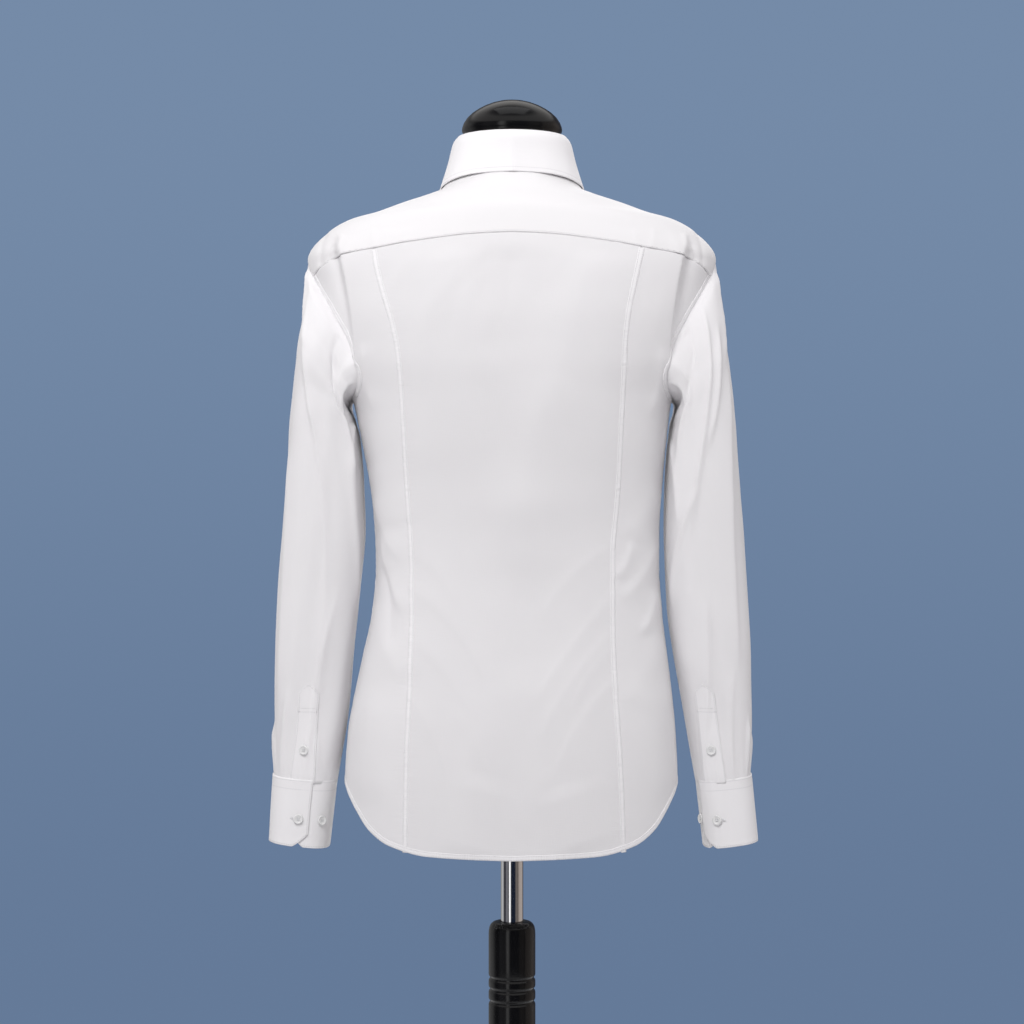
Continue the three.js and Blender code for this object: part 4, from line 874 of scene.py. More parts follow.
YOKE_CREASES = table(
    CREASE,
    (205, 1282, 209, 1243, 3.4, -1.3, 1.6, 2), (194, 1264, 198, 1246, 2.4, -1.1, 1.4, 1),
    (184, 1274, 190, 1257, 3, 0.8, 1.6, -1), (-203, 1284, -208, 1246, 3.4, -1.3, 1.6, -2),
    (-194, 1266, -199, 1247, 2.4, -1.2, 1.4, -1), (-186, 1276, -191, 1258, 3, 0.8, 1.6, 1),
    (150, 1278, 146, 1252, 3.4, 0.45, 2.0, 1), (134, 1276, 132, 1256, 3, 0.4, 2.0, 1),
    (118, 1276, 117, 1258, 3.2, 0.35, 2.0, 1), (-152, 1280, -148, 1254, 3.4, 0.45, 2.0, -1),
    (-131, 1276, -130, 1256, 3, 0.4, 2.0, -1),
)
DRAG_PLACE = 178
DRAG_HEIGHT = 0.9


def yoke_shape(u, v):
    column = u * (2 * YOKE_HALF_STEPS + YOKE_CENTRE_STEPS)
    low, low_run, neck = yoke_column(column)
    v = v * (0.35 + 0.65 * v)
    angle, run = mix(low, neck, v), mix(low_run, NECK_RUN, v)
    point, normal = shirt_point(angle, run)
    from_edge = np.linalg.norm(body_point(angle, run) - body_point(low, low_run), axis=1)
    from_drag = np.abs(np.abs(point[:, 0]) - DRAG_PLACE) - 6 * wobble(point[:, 1], 30, 2)
    drag = DRAG_HEIGHT * np.exp(-(from_drag / 9) ** 2) * smooth(1 - from_edge / 60)
    pucker = seam_pucker(from_edge, point[:, 0], 5, 0.22, 21)
    pucker = pucker + creases(point[:, 0], point[:, 2], YOKE_CREASES) * smooth(point[:, 1] / 30)
    rise = YOKE_LIFT * smooth(1 - (from_edge - 9) / 25) + drag + pucker
    point = point + normal * rise[:, None]
    pace = np.where(np.abs(point[:, 0]) > 150, point[:, 1], point[:, 0])
    return {"point": point, "normal": normal, "lay": point[:, :2], "sewn": from_edge - STITCH_INSET,
            "pace": pace, "near": np.exp(-(from_edge / 7) ** 2)}


yoke_poplin = cotton("yoke_poplin", (0.82, 0.81, 0.82, 1), (0.79, 0.78, 0.79, 1), 0.74, 0.00006, 0.0005)
yoke_panel = cloth("shoulder_yoke", "yoke", 300, 60, yoke_shape, yoke_poplin)

# Seams: narrow felled strips of the same cloth, folded under and sewn flat, which the thread puckers.
# They cover the two princess seams, the side seams, the armholes and the turned-up hem.
strip_poplin = cotton("felled_poplin", (0.89, 0.88, 0.89, 1), (0.85, 0.84, 0.855, 1), 0.72, 0.00005, 0.0008)
SEAM_WIDTH = 6.2
HEM_WIDTH = 5.6
STRIP_COLUMNS = 8


def strip(name, path, width, count, lift=0.12, seed=1, lines=(1.2,), tuck=0.4, inwards=0.0):
    """A felled strip along a seam. path gives the angles and runs of its points from end to end."""
    angle, run = path(np.linspace(0, 1, count + 1))
    spine, normal = shirt_point(angle, run)
    along = unit(np.gradient(spine, axis=0))
    across = np.cross(normal, along)
    across = across * -np.sign(np.sum(across[:, 0] * spine[:, 0])) if inwards else across
    turning = shirt_point(angle + 0.5, run)[0] - shirt_point(angle - 0.5, run)[0]
    rising = (shirt_point(angle, run + 1)[0] - shirt_point(angle, run - 1)[0]) / 2
    per_turn = np.sum(across * turning, axis=1) / np.sum(turning ** 2, axis=1)
    per_rise = np.sum(across * rising, axis=1) / np.sum(rising ** 2, axis=1)
    length = np.concatenate(([0], np.cumsum(np.linalg.norm(np.diff(spine, axis=0), axis=1))))

    def shape(u, v):
        row = np.clip(np.round(v * count).astype(int), 0, count)
        pace = length[row]
        distance = (u - 0.5) * width
        drawn = 0.55 + 0.35 * wobble(pace, 4.6, seed) + 0.2 * wobble(pace, 13, seed + 1)
        crown = lift + tuck * (1 - (2 * u - 1) ** 6) * drawn
        place = distance + inwards
        at_angle = angle[row] + place * per_turn[row]
        point, out = shirt_point(at_angle, run[row] + place * per_rise[row])
        point = point + out * (crown + extra_lift(point, at_angle))[:, None]
        sewn = stitch_lines(*[width / 2 - inset - np.abs(distance) for inset in lines])
        return {"point": point, "normal": out, "lay": np.stack([distance, pace], axis=1), "sewn": sewn,
                "pace": pace, "near": 1.0}
    return cloth(name, None, STRIP_COLUMNS, count, shape, strip_poplin, thickness=0.5)


def extra_lift(point, angle):
    """How far the lapped edge of each front stands off the body's surface."""
    ahead = np.sin(np.radians(angle)) < 0
    lapped = 1 - smooth((np.abs(point[:, 0]) - LAP_HALF_WIDTH) / LAP_BLEND)
    return np.where(ahead, np.sign(point[:, 0] + LAP_HALF_WIDTH) * LAP_LIFT * lapped, 0)


def princess_path(side):
    def path(t):
        run = mix(hem_run(np.array(62.0)) + 4, princess_top(side) - 1.5, t)
        angle = princess(run, side)
        return on_side(angle, side), run
    return path


def side_path(side):
    def path(t):
        run = mix(hem_run(np.array(0.0)) + 3, ARMPIT_RUN - 2, t)
        return (0 * t if side > 0 else 180 + 0 * t), run
    return path


def armhole_path(side):
    def path(t):
        turn = mix(-172, 172, t)
        back = armhole(np.abs(turn), "back")
        ahead = armhole(np.abs(turn), "front")
        angle = np.where(turn > 0, back[0], ahead[0])
        return on_side(angle, side), np.where(turn > 0, back[1], ahead[1])
    return path


def hem_path(start, end):
    def path(t):
        angle = mix(start, end, t)
        return angle, hem_run(angle) + HEM_WIDTH / 2 - 0.2
    return path


seam_strips = []
for side, word in SIDES.items():
    seam_strips.append(strip("princess_seam_" + word, princess_path(side), SEAM_WIDTH, 420, seed=31 + side))
    seam_strips.append(strip("side_seam_" + word, side_path(side), SEAM_WIDTH, 260, seed=41 + side))
HEM_SEWING = {"lift": 0.3, "tuck": 0.35, "lines": (1.0,)}
back_hem = strip("back_hem", hem_path(1.0, 179.0), HEM_WIDTH, 460, seed=51, **HEM_SEWING)
front_hems = [strip("front_hem_left", hem_path(-0.5, -96.5), HEM_WIDTH, 260, seed=61, **HEM_SEWING),
              strip("front_hem_right", hem_path(-179.5, -83.5), HEM_WIDTH, 260, seed=71, **HEM_SEWING)]

# Sleeves: one panel of poplin each, folded round and felled under the arm.
# Each is set into its armhole, and pleated and gathered into its cuff. It hangs empty.
SLEEVE = table(
    "ring out_left out_right out_height in_left in_right in_height depth middle",
    (0, 225, 225, 1254, 176, 177, 1100, 73, -6),
    (1, 227.5, 228, 1236, 179.5, 181, 1096, 73.5, -6),
    (2, 231, 232, 1204, 181, 183, 1091.5, 73.5, -6),
    (3, 236, 237, 1164, 178.5, 181, 1085, 73, -6),
    (4, 241, 242, 1122, 174, 177.5, 1075, 71.5, -7),
    (5, 246, 247.5, 1072, 169.5, 174.5, 1055, 69, -8),
    (6, 250, 252, 1016, 165, 171.5, 1012, 65, -9),
    (7, 255, 257, 950, 163.5, 169.5, 950, 59, -10),
    (8, 260, 262, 884, 169.5, 171.5, 884, 54, -12),
    (9, 263, 265.5, 816, 177, 180, 816, 50, -13),
    (10, 264.3, 266.5, 750, 183, 192, 750, 46, -15),
    (11, 265, 265, 680.5, 195.5, 205.5, 674.5, 43, -16),
)
SLEEVE_END = 11
ARMHOLE_FADE = 4
RING_STEP = 58
TURN_STEP = 0.9

# Creases of each sleeve: x is 0.9 mm for each degree round from its outer edge to the back, z 58 mm a ring.
SLEEVE_CREASES = {
    1: table(CREASE,
             (40, 8, 58, 200, 9, 2.6, 2.6, -4), (126, 30, 124, 330, 3, 2.4, 1.0, 4),
             (42, 90, 72, 290, 3.7, 2.5, 2.4, 5), (70, 280, 94, 545, 4.3, 2.2, 2.3, -6),
             (18, 30, 46, 150, 3.7, 2.3, 2.2, 3), (96, 96, 128, 250, 4.3, -2.1, 1.6, 5),
             (120, 330, 140, 470, 5, 2, 2, 5), (30, 330, 36, 560, 5.6, 1.6, 2, -3),
             (86, 22, 96, 120, 3.1, -1.7, 2, 3), (104, 470, 84, 620, 3.7, 1.6, 2, 4),
             (52, 560, 44, 640, 3.1, 1.5, 2, 2), (14, 592, 16, 652, 4.5, 2.4, 0.45, 0),
             (24, 600, 27, 652, 4, 1.8, 0.45, 0), (96, 600, 100, 648, 3.1, 1.5, 1.6, -2),
             (-60, 120, -40, 330, 5, 2.3, 2.2, 5), (-96, 200, -70, 430, 5, -2.1, 1.8, 5),
             (-30, 380, -42, 600, 5.6, 1.8, 2.2, -4), (-84, 470, -66, 610, 4.3, 1.8, 2, 3),
             (-110, 60, -128, 240, 4.3, 2, 2, -4), (-18, 600, -16, 654, 4.5, 2, 0.5, 0),
             (132, 60, 150, 170, 4.3, -2.3, 1.8, 3), (142, 250, 120, 340, 3.7, 2.1, 2, 3)),
    -1: table(CREASE,
              (126, 30, 124, 330, 3, 2.4, 1.0, 4), (63, 58, 98, 380, 3.7, 3, 2.4, 6),
              (98, 370, 132, 470, 4.3, 2.4, 2.2, -4), (47, 140, 76, 305, 3.7, 2.2, 2.3, 4),
              (38, 235, 52, 520, 4.3, 2.3, 2.3, -4), (20, 40, 34, 190, 3.7, 2, 2.2, 3),
              (112, 120, 136, 260, 4.3, -2.2, 1.6, 4), (86, 470, 104, 590, 4.3, 1.8, 2.1, 4),
              (60, 540, 66, 640, 3.7, 1.6, 2, -3), (82, 20, 92, 110, 3.1, -1.7, 2, 3),
              (38, 586, 40, 652, 4.5, 2.5, 0.45, 0), (28, 598, 29, 652, 4, 1.9, 0.45, 0),
              (-56, 110, -36, 320, 5, 2.3, 2.2, 5), (-92, 220, -72, 440, 5, -2.1, 1.8, 5),
              (-28, 360, -40, 590, 5.6, 1.8, 2.2, -4), (-86, 460, -64, 600, 4.3, 1.7, 2, 3),
              (-112, 70, -126, 250, 4.3, 2, 2, -4), (-14, 600, -12, 654, 4.5, 2, 0.5, 0),
              (134, 66, 150, 176, 4.3, -2.3, 1.8, 3), (140, 300, 118, 390, 3.7, 2, 2, 3)),
}
OVAL_POWER = 2.7


def oval_point(rows, at, turn, side, lift=0.0, power=OVAL_POWER):
    """A point of an oval ring, by turn in degrees from its outer edge towards the back."""
    word = SIDES[side]
    out, inner = read(rows, at, "out_" + word), read(rows, at, "in_" + word)
    top, low = read(rows, at, "out_height"), read(rows, at, "in_height")
    c, s = cos_sin(turn)
    reach = (np.abs(c) ** power + np.abs(s) ** power) ** (-1 / power)
    x = (out + inner) / 2 + ((out - inner) / 2 * reach + lift) * c
    y = read(rows, at, "middle") + (read(rows, at, "depth") * reach + lift) * s
    return np.stack([side * x, y, (top + low) / 2 + (top - low) / 2 * reach * c], axis=-1)


def armhole_seam(turn, side):
    back, ahead = armhole(np.abs(turn), "back"), armhole(np.abs(turn), "front")
    angle, run = np.where(turn >= 0, back[0], ahead[0]), np.where(turn >= 0, back[1], ahead[1])
    angle = on_side(angle, side)
    return body_point(angle, run), body_normal(angle, run)


def sleeve_point(ring, turn, side):
    folds = creases(turn * TURN_STEP, ring * RING_STEP, SLEEVE_CREASES[side])
    folds = folds + 0.7 * wobble(turn * TURN_STEP + 0.15 * ring * RING_STEP, 17, 81 + side)
    folds = folds + 0.5 * wobble(turn * TURN_STEP * 0.5 + ring * RING_STEP * 0.8, 30, 91 + side)
    gather = seam_pucker(ring * RING_STEP, turn, 12, 0.5, 95 + side)
    gather = gather + seam_pucker((SLEEVE_END - ring) * RING_STEP, turn, 16, 0.8, 97 + side)
    lift = folds * smooth(ring / 0.8) * (0.35 + 0.65 * smooth((SLEEVE_END - ring) / 0.5)) + gather
    seam, _ = armhole_seam(turn, side)
    hold = np.maximum(1 - ring / ARMHOLE_FADE, 0) ** 2
    flat = np.exp(-((turn - 142) / 26) ** 2) + np.exp(-((turn + 142) / 26) ** 2)
    drawn_back = np.maximum(1 - ring / (ARMHOLE_FADE * (1 + flat)), 0) ** (2 - 0.7 * flat)
    start = oval_point(SLEEVE, 0 * ring, turn, side, power=2)
    power = 2 + (OVAL_POWER - 2) * smooth((ring - 1) / 4)
    drawn = np.stack([hold, drawn_back, hold], axis=-1)
    return oval_point(SLEEVE, ring, turn, side, lift, power) + (seam - start) * drawn


def sleeve_shape(side):
    def shape(u, v):
        turn = mix(-180, 180, u)
        ring = SLEEVE_END * v
        point = sleeve_point(ring, turn, side)
        across = (read(SLEEVE, ring, "out_left") + read(SLEEVE, ring, "in_left")) / 2
        middle = np.stack([side * across, read(SLEEVE, ring, "middle"), point[:, 2]], axis=1)
        away = np.exp(-(ring * RING_STEP / 8) ** 2) + np.exp(-((SLEEVE_END - ring) * RING_STEP / 14) ** 2)
        lay = np.stack([turn * TURN_STEP, point[:, 2]], axis=1)
        return {"point": point, "normal": unit(point - middle), "lay": lay, "near": away}
    return shape


sleeves = pair("sleeve_cloth_", "sleeve_", 140, 210, sleeve_shape, poplin, closed=True)
for side, word in SIDES.items():
    seam_strips.append(strip("armhole_seam_" + word, armhole_path(side), SEAM_WIDTH + 0.8, 380,
                             seed=101 + side, lift=0.3, tuck=0.9, inwards=3.0))

# Cuffs: stiff bands of fused poplin in two layers, sewn over the sleeve's gathered end.
# Each laps at the back of the wrist, with cut-away corners and a line of sewing inside its edge.
band_poplin = cotton("fused_poplin", (0.89, 0.88, 0.89, 1), (0.86, 0.85, 0.865, 1), 0.66, 0.00004, 0.0005)
CUFF = table(
    "level out_left out_right out_height in_left in_right in_height depth middle",
    (0, 266.5, 267, 684.1, 195, 205, 678.1, 43.5, -16),
    (1, 270.8, 274.2, 611, 203.5, 213.5, 603, 42.5, -17),
)
CUFF_LAP = 34
CUFF_WHOLE = 360 + CUFF_LAP
CUFF_LAP_LIFT = 1.5
CUFF_LENGTH = 244
CUFF_HEIGHT = 74
CUFF_CUT_LENGTH = 17
CUFF_CUT_HEIGHT = 15
CUFF_SECOND_LINE = 11
CUFF_CLOTH = 2.3
CUFF_EDGE = {1: 109, -1: 150}


def lap_lift(share, whole, reach):
    """1 at the end of a band that laps over, and -1 at the end under it."""
    return smooth((1 - share) * whole / reach) - smooth(share * whole / reach)


def cuff_point(travel, level, side, out=0.0):
    turn = CUFF_EDGE[side] - travel * CUFF_WHOLE
    return oval_point(CUFF, level, turn, side, CUFF_LAP_LIFT * lap_lift(travel, CUFF_WHOLE, 70) + out)


def cuff_shape(side):
    def shape(u, v):
        from_end = np.minimum(u, 1 - u) * CUFF_LENGTH
        lowest = 1 - CUFF_CUT_HEIGHT / CUFF_HEIGHT * np.maximum(1 - from_end / CUFF_CUT_LENGTH, 0) ** 1.25
        level = lowest * (0.5 - 0.5 * np.cos(math.pi * v)) * 0.35 + lowest * v * 0.65
        down, low = level * CUFF_HEIGHT, lowest * CUFF_HEIGHT
        to_edge = np.minimum(down, low - down)
        ease = 0.5 * wobble(u * CUFF_LENGTH, 26, 111 + side) * np.sin(math.pi * level)
        ease = ease + 0.16 * wobble(u * CUFF_LENGTH, 3.2, 115) * np.exp(-(to_edge / 3) ** 2)
        point = cuff_point(u, level, side, ease)
        normal = unit(cuff_point(u, level, side, ease + 1) - point)
        border = np.minimum(to_edge, from_end) - STITCH_INSET
        sewn = stitch_lines(border, down - CUFF_SECOND_LINE)
        pace = np.where(from_end < to_edge, down, u * CUFF_LENGTH)
        return {"point": point, "normal": normal, "lay": np.stack([u * CUFF_LENGTH, down], axis=1),
                "sewn": sewn, "pace": pace, "near": np.exp(-(border / 4) ** 2)}
    return shape


cuffs = pair("cuff_band_", "cuff_", 190, 44, cuff_shape, band_poplin, thickness=CUFF_CLOTH)

# Sleeve plackets: pointed gauntlet strips of fused poplin that bind the sleeve's slit above each cuff.
# They are sewn round their edges, box-stitched at the top, and run into the cuff's seam.
GAUNTLET = table("height half", (672, 22), (690, 21), (712, 18.5), (734, 16.5), (756, 15.5), (776.6, 15),
                 (776.8, 14.9), (786.9, 0.5), (787, 0.3))
GAUNTLET_TURN = {1: 89, -1: 112}
GAUNTLET_BOX = 756
GAUNTLET_OUT = 1.4
STRIP_CLOTH = 1.0


def sleeve_ring_at(height, turn, side):
    ring = np.full_like(height, SLEEVE_END - 1.0)
    for _ in range(12):
        ring = ring + (oval_point(SLEEVE, ring, turn, side)[..., 2] - height) / 66
    return np.minimum(ring, SLEEVE_END)


def gauntlet_shape(side):
    def shape(u, v):
        foot_turn = GAUNTLET_TURN[side] + (2 * u - 1) * 22
        foot = oval_point(SLEEVE, SLEEVE_END, foot_turn, side)[..., 2] + 0.4
        height = mix(787, foot, v * (0.4 + 0.6 * v))
        half = read(GAUNTLET, height, "half")
        offset = (2 * u - 1) * half
        turn = GAUNTLET_TURN[side] + offset
        ring = sleeve_ring_at(height, turn, side)
        base = sleeve_point(ring, turn, side)
        across = sleeve_point(ring, turn + 2, side) - sleeve_point(ring, turn - 2, side)
        below = sleeve_point(np.minimum(ring + 0.05, SLEEVE_END), turn, side)
        normal = unit(np.cross(across, below - sleeve_point(ring - 0.05, turn, side)))
        normal = np.where(normal[:, 1:2] < 0, -normal, normal)
        edge = (half - np.abs(offset)) * 0.8
        pucker = 0.2 * wobble(height, 3.4, 121 + side) * np.exp(-(edge / 3) ** 2)
        out = mix(0.9, GAUNTLET_OUT, smooth((height - foot - 2) / 7))
        point = base + normal * (out + pucker)[:, None]
        border = np.minimum(edge, (787 - height) * 0.9) - STITCH_INSET
        sewn = stitch_lines(border, height - GAUNTLET_BOX, height - GAUNTLET_BOX - 4)
        pace = np.where(np.abs(border) < np.abs(height - GAUNTLET_BOX), height, offset)
        return {"point": point, "normal": normal, "lay": np.stack([offset, height], axis=1), "sewn": sewn,
                "pace": pace, "near": np.exp(-(edge / 4) ** 2)}
    return shape


gauntlets = pair("gauntlet_placket_", "sleeve_placket_", 26, 90, gauntlet_shape, band_poplin,
                 thickness=STRIP_CLOTH)

# Front placket: a strip of fused poplin folded on the lapping edge of the left front.
# A line of sewing inside each edge holds it down, and it carries the buttonholes.
PLACKET_OUT = 1.35
PLACKET_LINE = 5.5


def placket_shape(u, v):
    lap_run = front_edge_run(v)
    distance = mix(-LAP_HALF_WIDTH, LAP_HALF_WIDTH, u)
    angle, _ = front_place(distance, lap_run)
    point, normal = shirt_point(angle, lap_run)
    edge = LAP_HALF_WIDTH - np.abs(distance)
    pucker = 0.22 * wobble(lap_run, 4.0, 131) * np.exp(-((edge - PLACKET_LINE) / 3) ** 2)
    point = point + normal * (LAP_LIFT + PLACKET_OUT + pucker)[:, None]
    return {"point": point, "normal": normal, "lay": np.stack([distance, lap_run], axis=1),
            "sewn": edge - PLACKET_LINE, "pace": lap_run, "near": np.exp(-((edge - PLACKET_LINE) / 4) ** 2)}


placket = cloth("button_placket", "front_placket", 24, 420, placket_shape, band_poplin, STRIP_CLOTH)

# Collar stand: a stiffened band of several layers, sewn round the neckline.
# It is buttoned at the front and holds the collar up.
STAND_TOP, STAND_TOP_DROP = 1384.6, 54
STAND_TOP_SIDE, STAND_TOP_BACK, STAND_TOP_FRONT = 58.5, 56, 51
STAND_LIFT = 0.55
STAND_LAP_ANGLE = 16
STAND_WHOLE = 360 + 2 * STAND_LAP_ANGLE
STAND_LAP_LIFT = 1.3
STAND_CLOTH = 2.0


def outwards(angle):
    return np.stack([*cos_sin(angle), 0 * angle], axis=-1)


def stand_edge(angle):
    c, s = cos_sin(angle)
    reach = 1 / np.hypot(c / STAND_TOP_SIDE, s / np.where(s >= 0, STAND_TOP_BACK, STAND_TOP_FRONT))
    return np.stack([reach * c, reach * s, STAND_TOP - np.where(s < 0, STAND_TOP_DROP * s * s, 0)], axis=-1)


def stand_point(share, level):
    angle = -90 - STAND_LAP_ANGLE + share * STAND_WHOLE
    s = np.sin(np.radians(angle))
    foot = body_point(angle, NECK_RUN + 0 * angle)
    inset = 0.9 + np.where(s < 0, 1.2 * s * s, 0)
    foot[..., :2] *= (1 - inset / np.hypot(foot[..., 0], foot[..., 1]))[..., None]
    foot[..., 2] += STAND_LIFT + np.where(s < 0, 0.9 * s * s, 0)
    lift = STAND_LAP_LIFT * lap_lift(share, STAND_WHOLE, 60)
    return mix(foot, stand_edge(angle), level[..., None]) + outwards(angle) * lift[..., None]


def stand_shape(u, v):
    point = stand_point(u, v)
    from_end = np.minimum(u, 1 - u) * 410
    corner = np.maximum(1 - from_end / 14, 0) ** 2 * 7
    point[:, 2] -= corner * v
    border = np.minimum(np.minimum(v, 1 - v) * 34, from_end) - STITCH_INSET
    return {"point": point, "normal": outwards(-90 - STAND_LAP_ANGLE + u * STAND_WHOLE),
            "lay": np.stack([u * 410, v * 34], axis=1), "sewn": border, "pace": u * 410, "near": 0.3}


collar_band = cloth("collar_band", "collar_stand", 220, 20, stand_shape, band_poplin, STAND_CLOTH)

# Collar: a stiffened leaf sewn to the stand's upper edge and turned down over it.
# It ends in two points at the front and is edge-stitched all round.
COLLAR_EDGE = table("angle out along height", (-84, 41, -86, 1262), (-62, 60.5, -73, 1285),
                    (-32, 75, -44, 1318.5), (0, 80.3, -5, 1332.5), (30, 68.5, 34.2, 1338),
                    (60, 39.6, 59.8, 1342.3), (90, 0, 69.3, 1343.5))
FALL_START = -84
FALL_SEAM = 1.6
FALL_INSET = 0.7
FOLD_RISE = 2
FOLD_RADIUS = 2.2
FOLD_TURN = 0.93
LEAF_BULGE = 2.4
LEAF_CLOTH = 1.6
LEAF_SHARE = 0.34
TURN_SHARE = 0.06


def fall_shape(u, w):
    angle = mix(FALL_START, 180 - FALL_START, u)
    folded, sign = np.where(angle > 90, 180 - angle, angle), np.where(angle > 90, -1, 1)
    out, top = outwards(angle), stand_edge(angle)
    inner = top - out * (STAND_CLOTH / 2 + FALL_INSET)
    hub = inner + out * FOLD_RADIUS + np.array([0, 0, FALL_SEAM + FOLD_RISE])

    def arc(t):
        turn = math.pi * (1 - FOLD_TURN * t)
        return out * np.cos(turn)[:, None] + np.array([0, 0, 1]) * np.sin(turn)[:, None]

    edge = np.stack([read(COLLAR_EDGE, folded, key) for key in ("out", "along", "height")], axis=1)
    edge[:, 0] *= sign
    start = hub + arc(1 + 0 * u) * FOLD_RADIUS
    t = np.clip((w - LEAF_SHARE) / (1 - LEAF_SHARE), 0, 1)
    leaf = mix(start, edge, t[:, None]) + out * (LEAF_BULGE * t / 0.14 * np.exp(1 - t / 0.14))[:, None]
    folding = arc(np.clip((w - TURN_SHARE) / (LEAF_SHARE - TURN_SHARE), 0, 1))
    height = mix(FALL_SEAM, FALL_SEAM + FOLD_RISE, np.clip(w / TURN_SHARE, 0, 1))
    rising = inner + np.array([0, 0, 1]) * height[:, None]
    point = np.where((w < LEAF_SHARE)[:, None], hub + folding * FOLD_RADIUS, leaf)
    point = np.where((w < TURN_SHARE)[:, None], rising, point)
    fall = edge - start
    normal = unit(np.cross(np.stack([-fall[:, 1], fall[:, 0], 0 * fall[:, 0]], axis=1), fall))
    normal = np.where((np.sum(normal * out, axis=1) < 0)[:, None], -normal, normal)
    normal = np.where((w < LEAF_SHARE)[:, None], folding, normal)
    down = t * np.linalg.norm(fall, axis=1)
    border = np.minimum(np.linalg.norm(fall, axis=1) - down, np.minimum(u, 1 - u) * 480) - 5
    return {"point": point, "normal": normal, "lay": np.stack([u * 480, down], axis=1), "sewn": border,
            "pace": u * 480, "near": 0.2}


collar_leaf = cloth("collar_leaf", "collar_fall", 240, 56, fall_shape, band_poplin, LEAF_CLOTH)

# Buttons: small glossy discs of white resin, turned with a raised rim and drilled with four holes, which are
# drawn as dark discs of painted shadow.
# Each is sewn on with crossed white thread.
resin, resin_shade = material("white_resin")
resin_cloud = noise(spot_of(resin_shade), 160.0, 3.0)
resin_tone = blend(resin_cloud, (0.84, 0.84, 0.83, 1), (0.76, 0.765, 0.77, 1))
plug(resin_shade, Base_Color=resin_tone, Roughness=resin_cloud * 0.12 + 0.18, Coat_Weight=0.2)
hole_shadow_finish, hole_shade = material("button_hole_shadow")
hole_cloud = noise(spot_of(hole_shade), 300.0)
plug(hole_shade, Base_Color=(0.25, 0.25, 0.27, 1), Roughness=hole_cloud * 0.2 + 0.7)
thread_finish, thread_shade = material("sewing_thread")
thread_twist = thread_shade.node("ShaderNodeTexWave", {"bands_direction": "DIAGONAL"},
                                 {"Vector": spot_of(thread_shade), "Scale": 900.0, "Distortion": 1.0})
thread_bump = relief(thread_twist, 0.5, 0.0002)
plug(thread_shade, Base_Color=(0.82, 0.825, 0.84, 1), Roughness=thread_twist * 0.2 + 0.6,
     Normal=thread_bump)

BUTTON_PROFILE = [(0, 0), (4.6, 0), (5.2, 0.25), (5.5, 0.9), (5.45, 1.6), (5.1, 2.15), (4.6, 2.35),
                  (4.1, 2.25), (3.6, 1.85), (3.1, 1.6), (2.4, 1.5), (0, 1.45)]
BUTTON_STEPS = 40
HOLE_PLACES = [(-1.0, -1.0), (1.0, -1.0), (1.0, 1.0), (-1.0, 1.0)]
HOLE_RADIUS = 0.55
HOLE_LEVEL = 1.56
THREAD_LEVELS = {45: 1.8, 135: 1.9}
THREAD_SIZE = (2.9, 0.42, 0.36, 1)


def stood_on(centre, normal, upright):
    """The turn and place that stand a piece on a point of the cloth, in metres."""
    out = Vector(normal).normalized()
    up = Vector(upright)
    up = (up - out * up.dot(out)).normalized()
    turn = Matrix((up.cross(out), up, out)).transposed().to_4x4()
    return Matrix.Translation(Vector(centre) * MILLI) @ turn @ Matrix.Scale(MILLI, 4)


def faces_of(made):
    return {face for vert in made["verts"] for face in vert.link_faces}


def button(name, node, centre, normal, turn=0.0):
    """A four-hole button, turned like the stand's pieces, with its thread, stood on a point of the cloth."""
    bm = lathe(BUTTON_PROFILE, BUTTON_STEPS)
    # The four holes are not cut: each is a dark disc of painted shadow laid just above the dish.
    for x, y in HOLE_PLACES:
        made = bmesh.ops.create_circle(bm, cap_ends=True, segments=12, radius=HOLE_RADIUS,
                                       matrix=Matrix.Translation((x, y, HOLE_LEVEL)))
        for face in faces_of(made):
            face.material_index = 1
    for slope, level in THREAD_LEVELS.items():
        for offset in (-0.28, 0.28):
            place = Matrix.Rotation(math.radians(slope), 4, "Z") @ Matrix.Translation((0, offset, level))
            made = bmesh.ops.create_cube(bm, size=1.0, matrix=place @ Matrix.Diagonal(THREAD_SIZE))
            faces = faces_of(made)
            for face in faces:
                face.material_index = 2
            edges = list({edge for face in faces for edge in face.edges})
            bmesh.ops.bevel(bm, geom=edges, offset=0.14, segments=2, profile=0.5, affect="EDGES",
                            material=-1)
    bmesh.ops.rotate(bm, cent=(0, 0, 0), matrix=Matrix.Rotation(math.radians(turn), 3, "Z"), verts=bm.verts)
    bmesh.ops.transform(bm, matrix=stood_on(centre, normal, (0, 0, 1)), verts=bm.verts)
    made = piece(name, poured(name, bm, 50), "figure", "white_button", resin, hole_shadow_finish, thread_finish)
    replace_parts(made, node)
    return made


# Buttonholes: slits worked round with close white thread.
# They stand upright on the front and the sleeve plackets, and lie level on the collar and the cuffs.
HOLE_LENGTH = 14.5


def buttonhole(bm, centre, normal, along):
    """One worked slit, added to a mesh: three rings, the middle one raised, joined into a lip."""
    place = stood_on(centre, normal, along)
    loops = []
    for wide, long, height in ((1.5, HOLE_LENGTH / 2, 0.0), (0.95, HOLE_LENGTH / 2 - 0.5, 0.42),
                               (0.25, HOLE_LENGTH / 2 - 1.2, 0.06)):
        oval = place @ Matrix.Diagonal((wide, long, 1, 1)) @ Matrix.Translation((0, 0, height))
        ring = bmesh.ops.create_circle(bm, segments=28, radius=1.0, matrix=oval)
        loops.append(list({edge for vert in ring["verts"] for edge in vert.link_edges}))
    bmesh.ops.bridge_loops(bm, edges=loops[0] + loops[1])
    bmesh.ops.bridge_loops(bm, edges=loops[1] + loops[2])


def worked_holes(name, places):
    bm = bmesh.new()
    for centre, normal, along in places:
        buttonhole(bm, centre, normal, along)
    bmesh.ops.recalc_face_normals(bm, faces=bm.faces)
    return piece(name, poured(name, bm), "figure", "white_cotton", thread_finish)


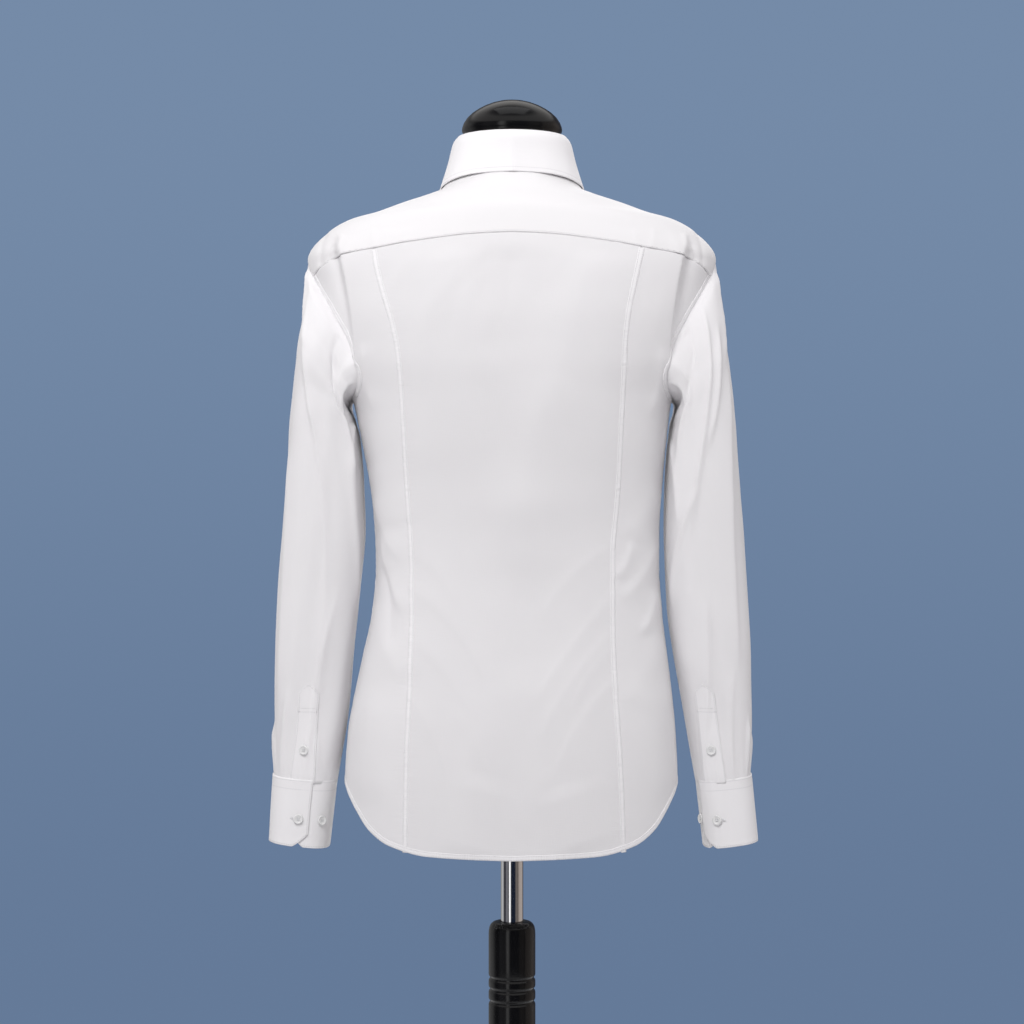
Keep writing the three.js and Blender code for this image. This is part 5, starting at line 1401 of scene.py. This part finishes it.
FRONT_BUTTON_TOP = 1215
FRONT_BUTTON_STEP = 79
FRONT_BUTTONS = 7
hole_places = []
for k in range(FRONT_BUTTONS):
    height = FRONT_BUTTON_TOP - k * FRONT_BUTTON_STEP
    run = np.array(float(height))
    for _ in range(8):
        run = run + height - body_point(front_place(np.array(0.0), run)[0], run)[2]
    angle, _ = front_place(np.array(0.0), run)
    point, normal = shirt_point(angle, run)
    seat = point + normal * (LAP_LIFT + PLACKET_OUT)
    button("resin_button_front_%d" % (k + 1), "front_button_%d" % (k + 1), seat + normal * 0.5, normal,
           turn=7 * k)
    hole_places.append((seat + normal * 0.08, normal, (0, 0, 1)))
collar_share = np.array(STAND_LAP_ANGLE / STAND_WHOLE)
collar_point, collar_out = stand_point(collar_share, np.array(0.5)), outwards(np.array(-90.0))
button("resin_button_collar", "collar_button", collar_point + collar_out * 0.7, collar_out)
hole_places.append((collar_point + collar_out * 0.1 + np.array([2.5, 0, 0]), collar_out, (1, 0, 0)))

CUFF_BUTTON_LEVEL = 0.58
CUFF_BUTTONS = {1: (90, 130), -1: (116, 160)}
GAUNTLET_BUTTON_HEIGHT = 714
for side, word in SIDES.items():
    for k, turn in enumerate(CUFF_BUTTONS[side]):
        travel = np.array((CUFF_EDGE[side] - turn + 360 * k) / CUFF_WHOLE)
        level = np.array(CUFF_BUTTON_LEVEL)
        point = cuff_point(travel, level, side)
        normal = unit(cuff_point(travel, level, side, 1.0) - point)
        button("resin_button_cuff_%s_%d" % (word, k + 1), "cuff_button_%s_%d" % (word, k + 1),
               point + normal * 0.8, normal, 20 * k)
        if k == 0:
            along = cuff_point(travel + 0.01, level, side) - point
            hole_places.append((point + normal * 0.15 + unit(along) * 2.5, normal, along))
    turn = np.array([float(GAUNTLET_TURN[side])])
    ring = sleeve_ring_at(np.array([float(GAUNTLET_BUTTON_HEIGHT)]), turn, side)
    base = sleeve_point(ring, turn, side)
    normal = np.cross(sleeve_point(ring, turn + 4, side) - sleeve_point(ring, turn - 4, side),
                      sleeve_point(ring + 0.05, turn, side) - base)
    normal = unit(normal * np.sign(normal[:, 1:2]))[0]
    seat = base[0] + normal * GAUNTLET_OUT
    button("resin_button_placket_" + word, "sleeve_placket_button_" + word, seat + normal * 0.5, normal, 12)
    hole_places.append((seat + normal * 0.08, normal, (0, 0, 1)))
worked_holes("worked_buttonholes", hole_places)

# Sheets: every piece of cloth with the width, length and area that it was cut to, in metres.
# A sleeve is given as it lies opened out. Felled seams and hems belong to the panels they are folded from.
# All of it hangs on the form by the yoke, or on the piece that it is sewn to.
princess_left, side_left, princess_right, side_right, armhole_left, armhole_right = seam_strips
CUTS = [
    (back_panel, 0.24, 0.67, 0.1587, [princess_left, princess_right, back_hem], [torso, yoke_panel]),
    (side_panels[0], 0.13, 0.66, 0.0630, [side_left], [torso, yoke_panel]),
    (side_panels[1], 0.13, 0.66, 0.0667, [side_right], [torso, yoke_panel]),
    (front_panels[0], 0.27, 0.74, 0.1626, [front_hems[0]], [torso, yoke_panel]),
    (front_panels[1], 0.27, 0.74, 0.1645, [front_hems[1]], [torso, yoke_panel]),
    (yoke_panel, 0.46, 0.22, 0.0754, [], [torso]),
    (sleeves[0], 0.36, 0.60, 0.1592, [armhole_left], [yoke_panel]),
    (sleeves[1], 0.36, 0.60, 0.1574, [armhole_right], [yoke_panel]),
    (cuffs[0], 0.25, 0.08, 0.0196, [], [sleeves[0]]),
    (cuffs[1], 0.25, 0.08, 0.0188, [], [sleeves[1]]),
    (gauntlets[0], 0.034, 0.115, 0.0028, [], [sleeves[0]]),
    (gauntlets[1], 0.034, 0.115, 0.0027, [], [sleeves[1]]),
    (placket, 0.033, 0.70, 0.0222, [], [front_panels[0]]),
    (collar_band, 0.41, 0.036, 0.0128, [], [yoke_panel]),
    (collar_leaf, 0.48, 0.065, 0.0286, [], [collar_band]),
]
for made, width, length, area, sewn_on, held_by in CUTS:
    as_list(held_by)
    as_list(sewn_on)
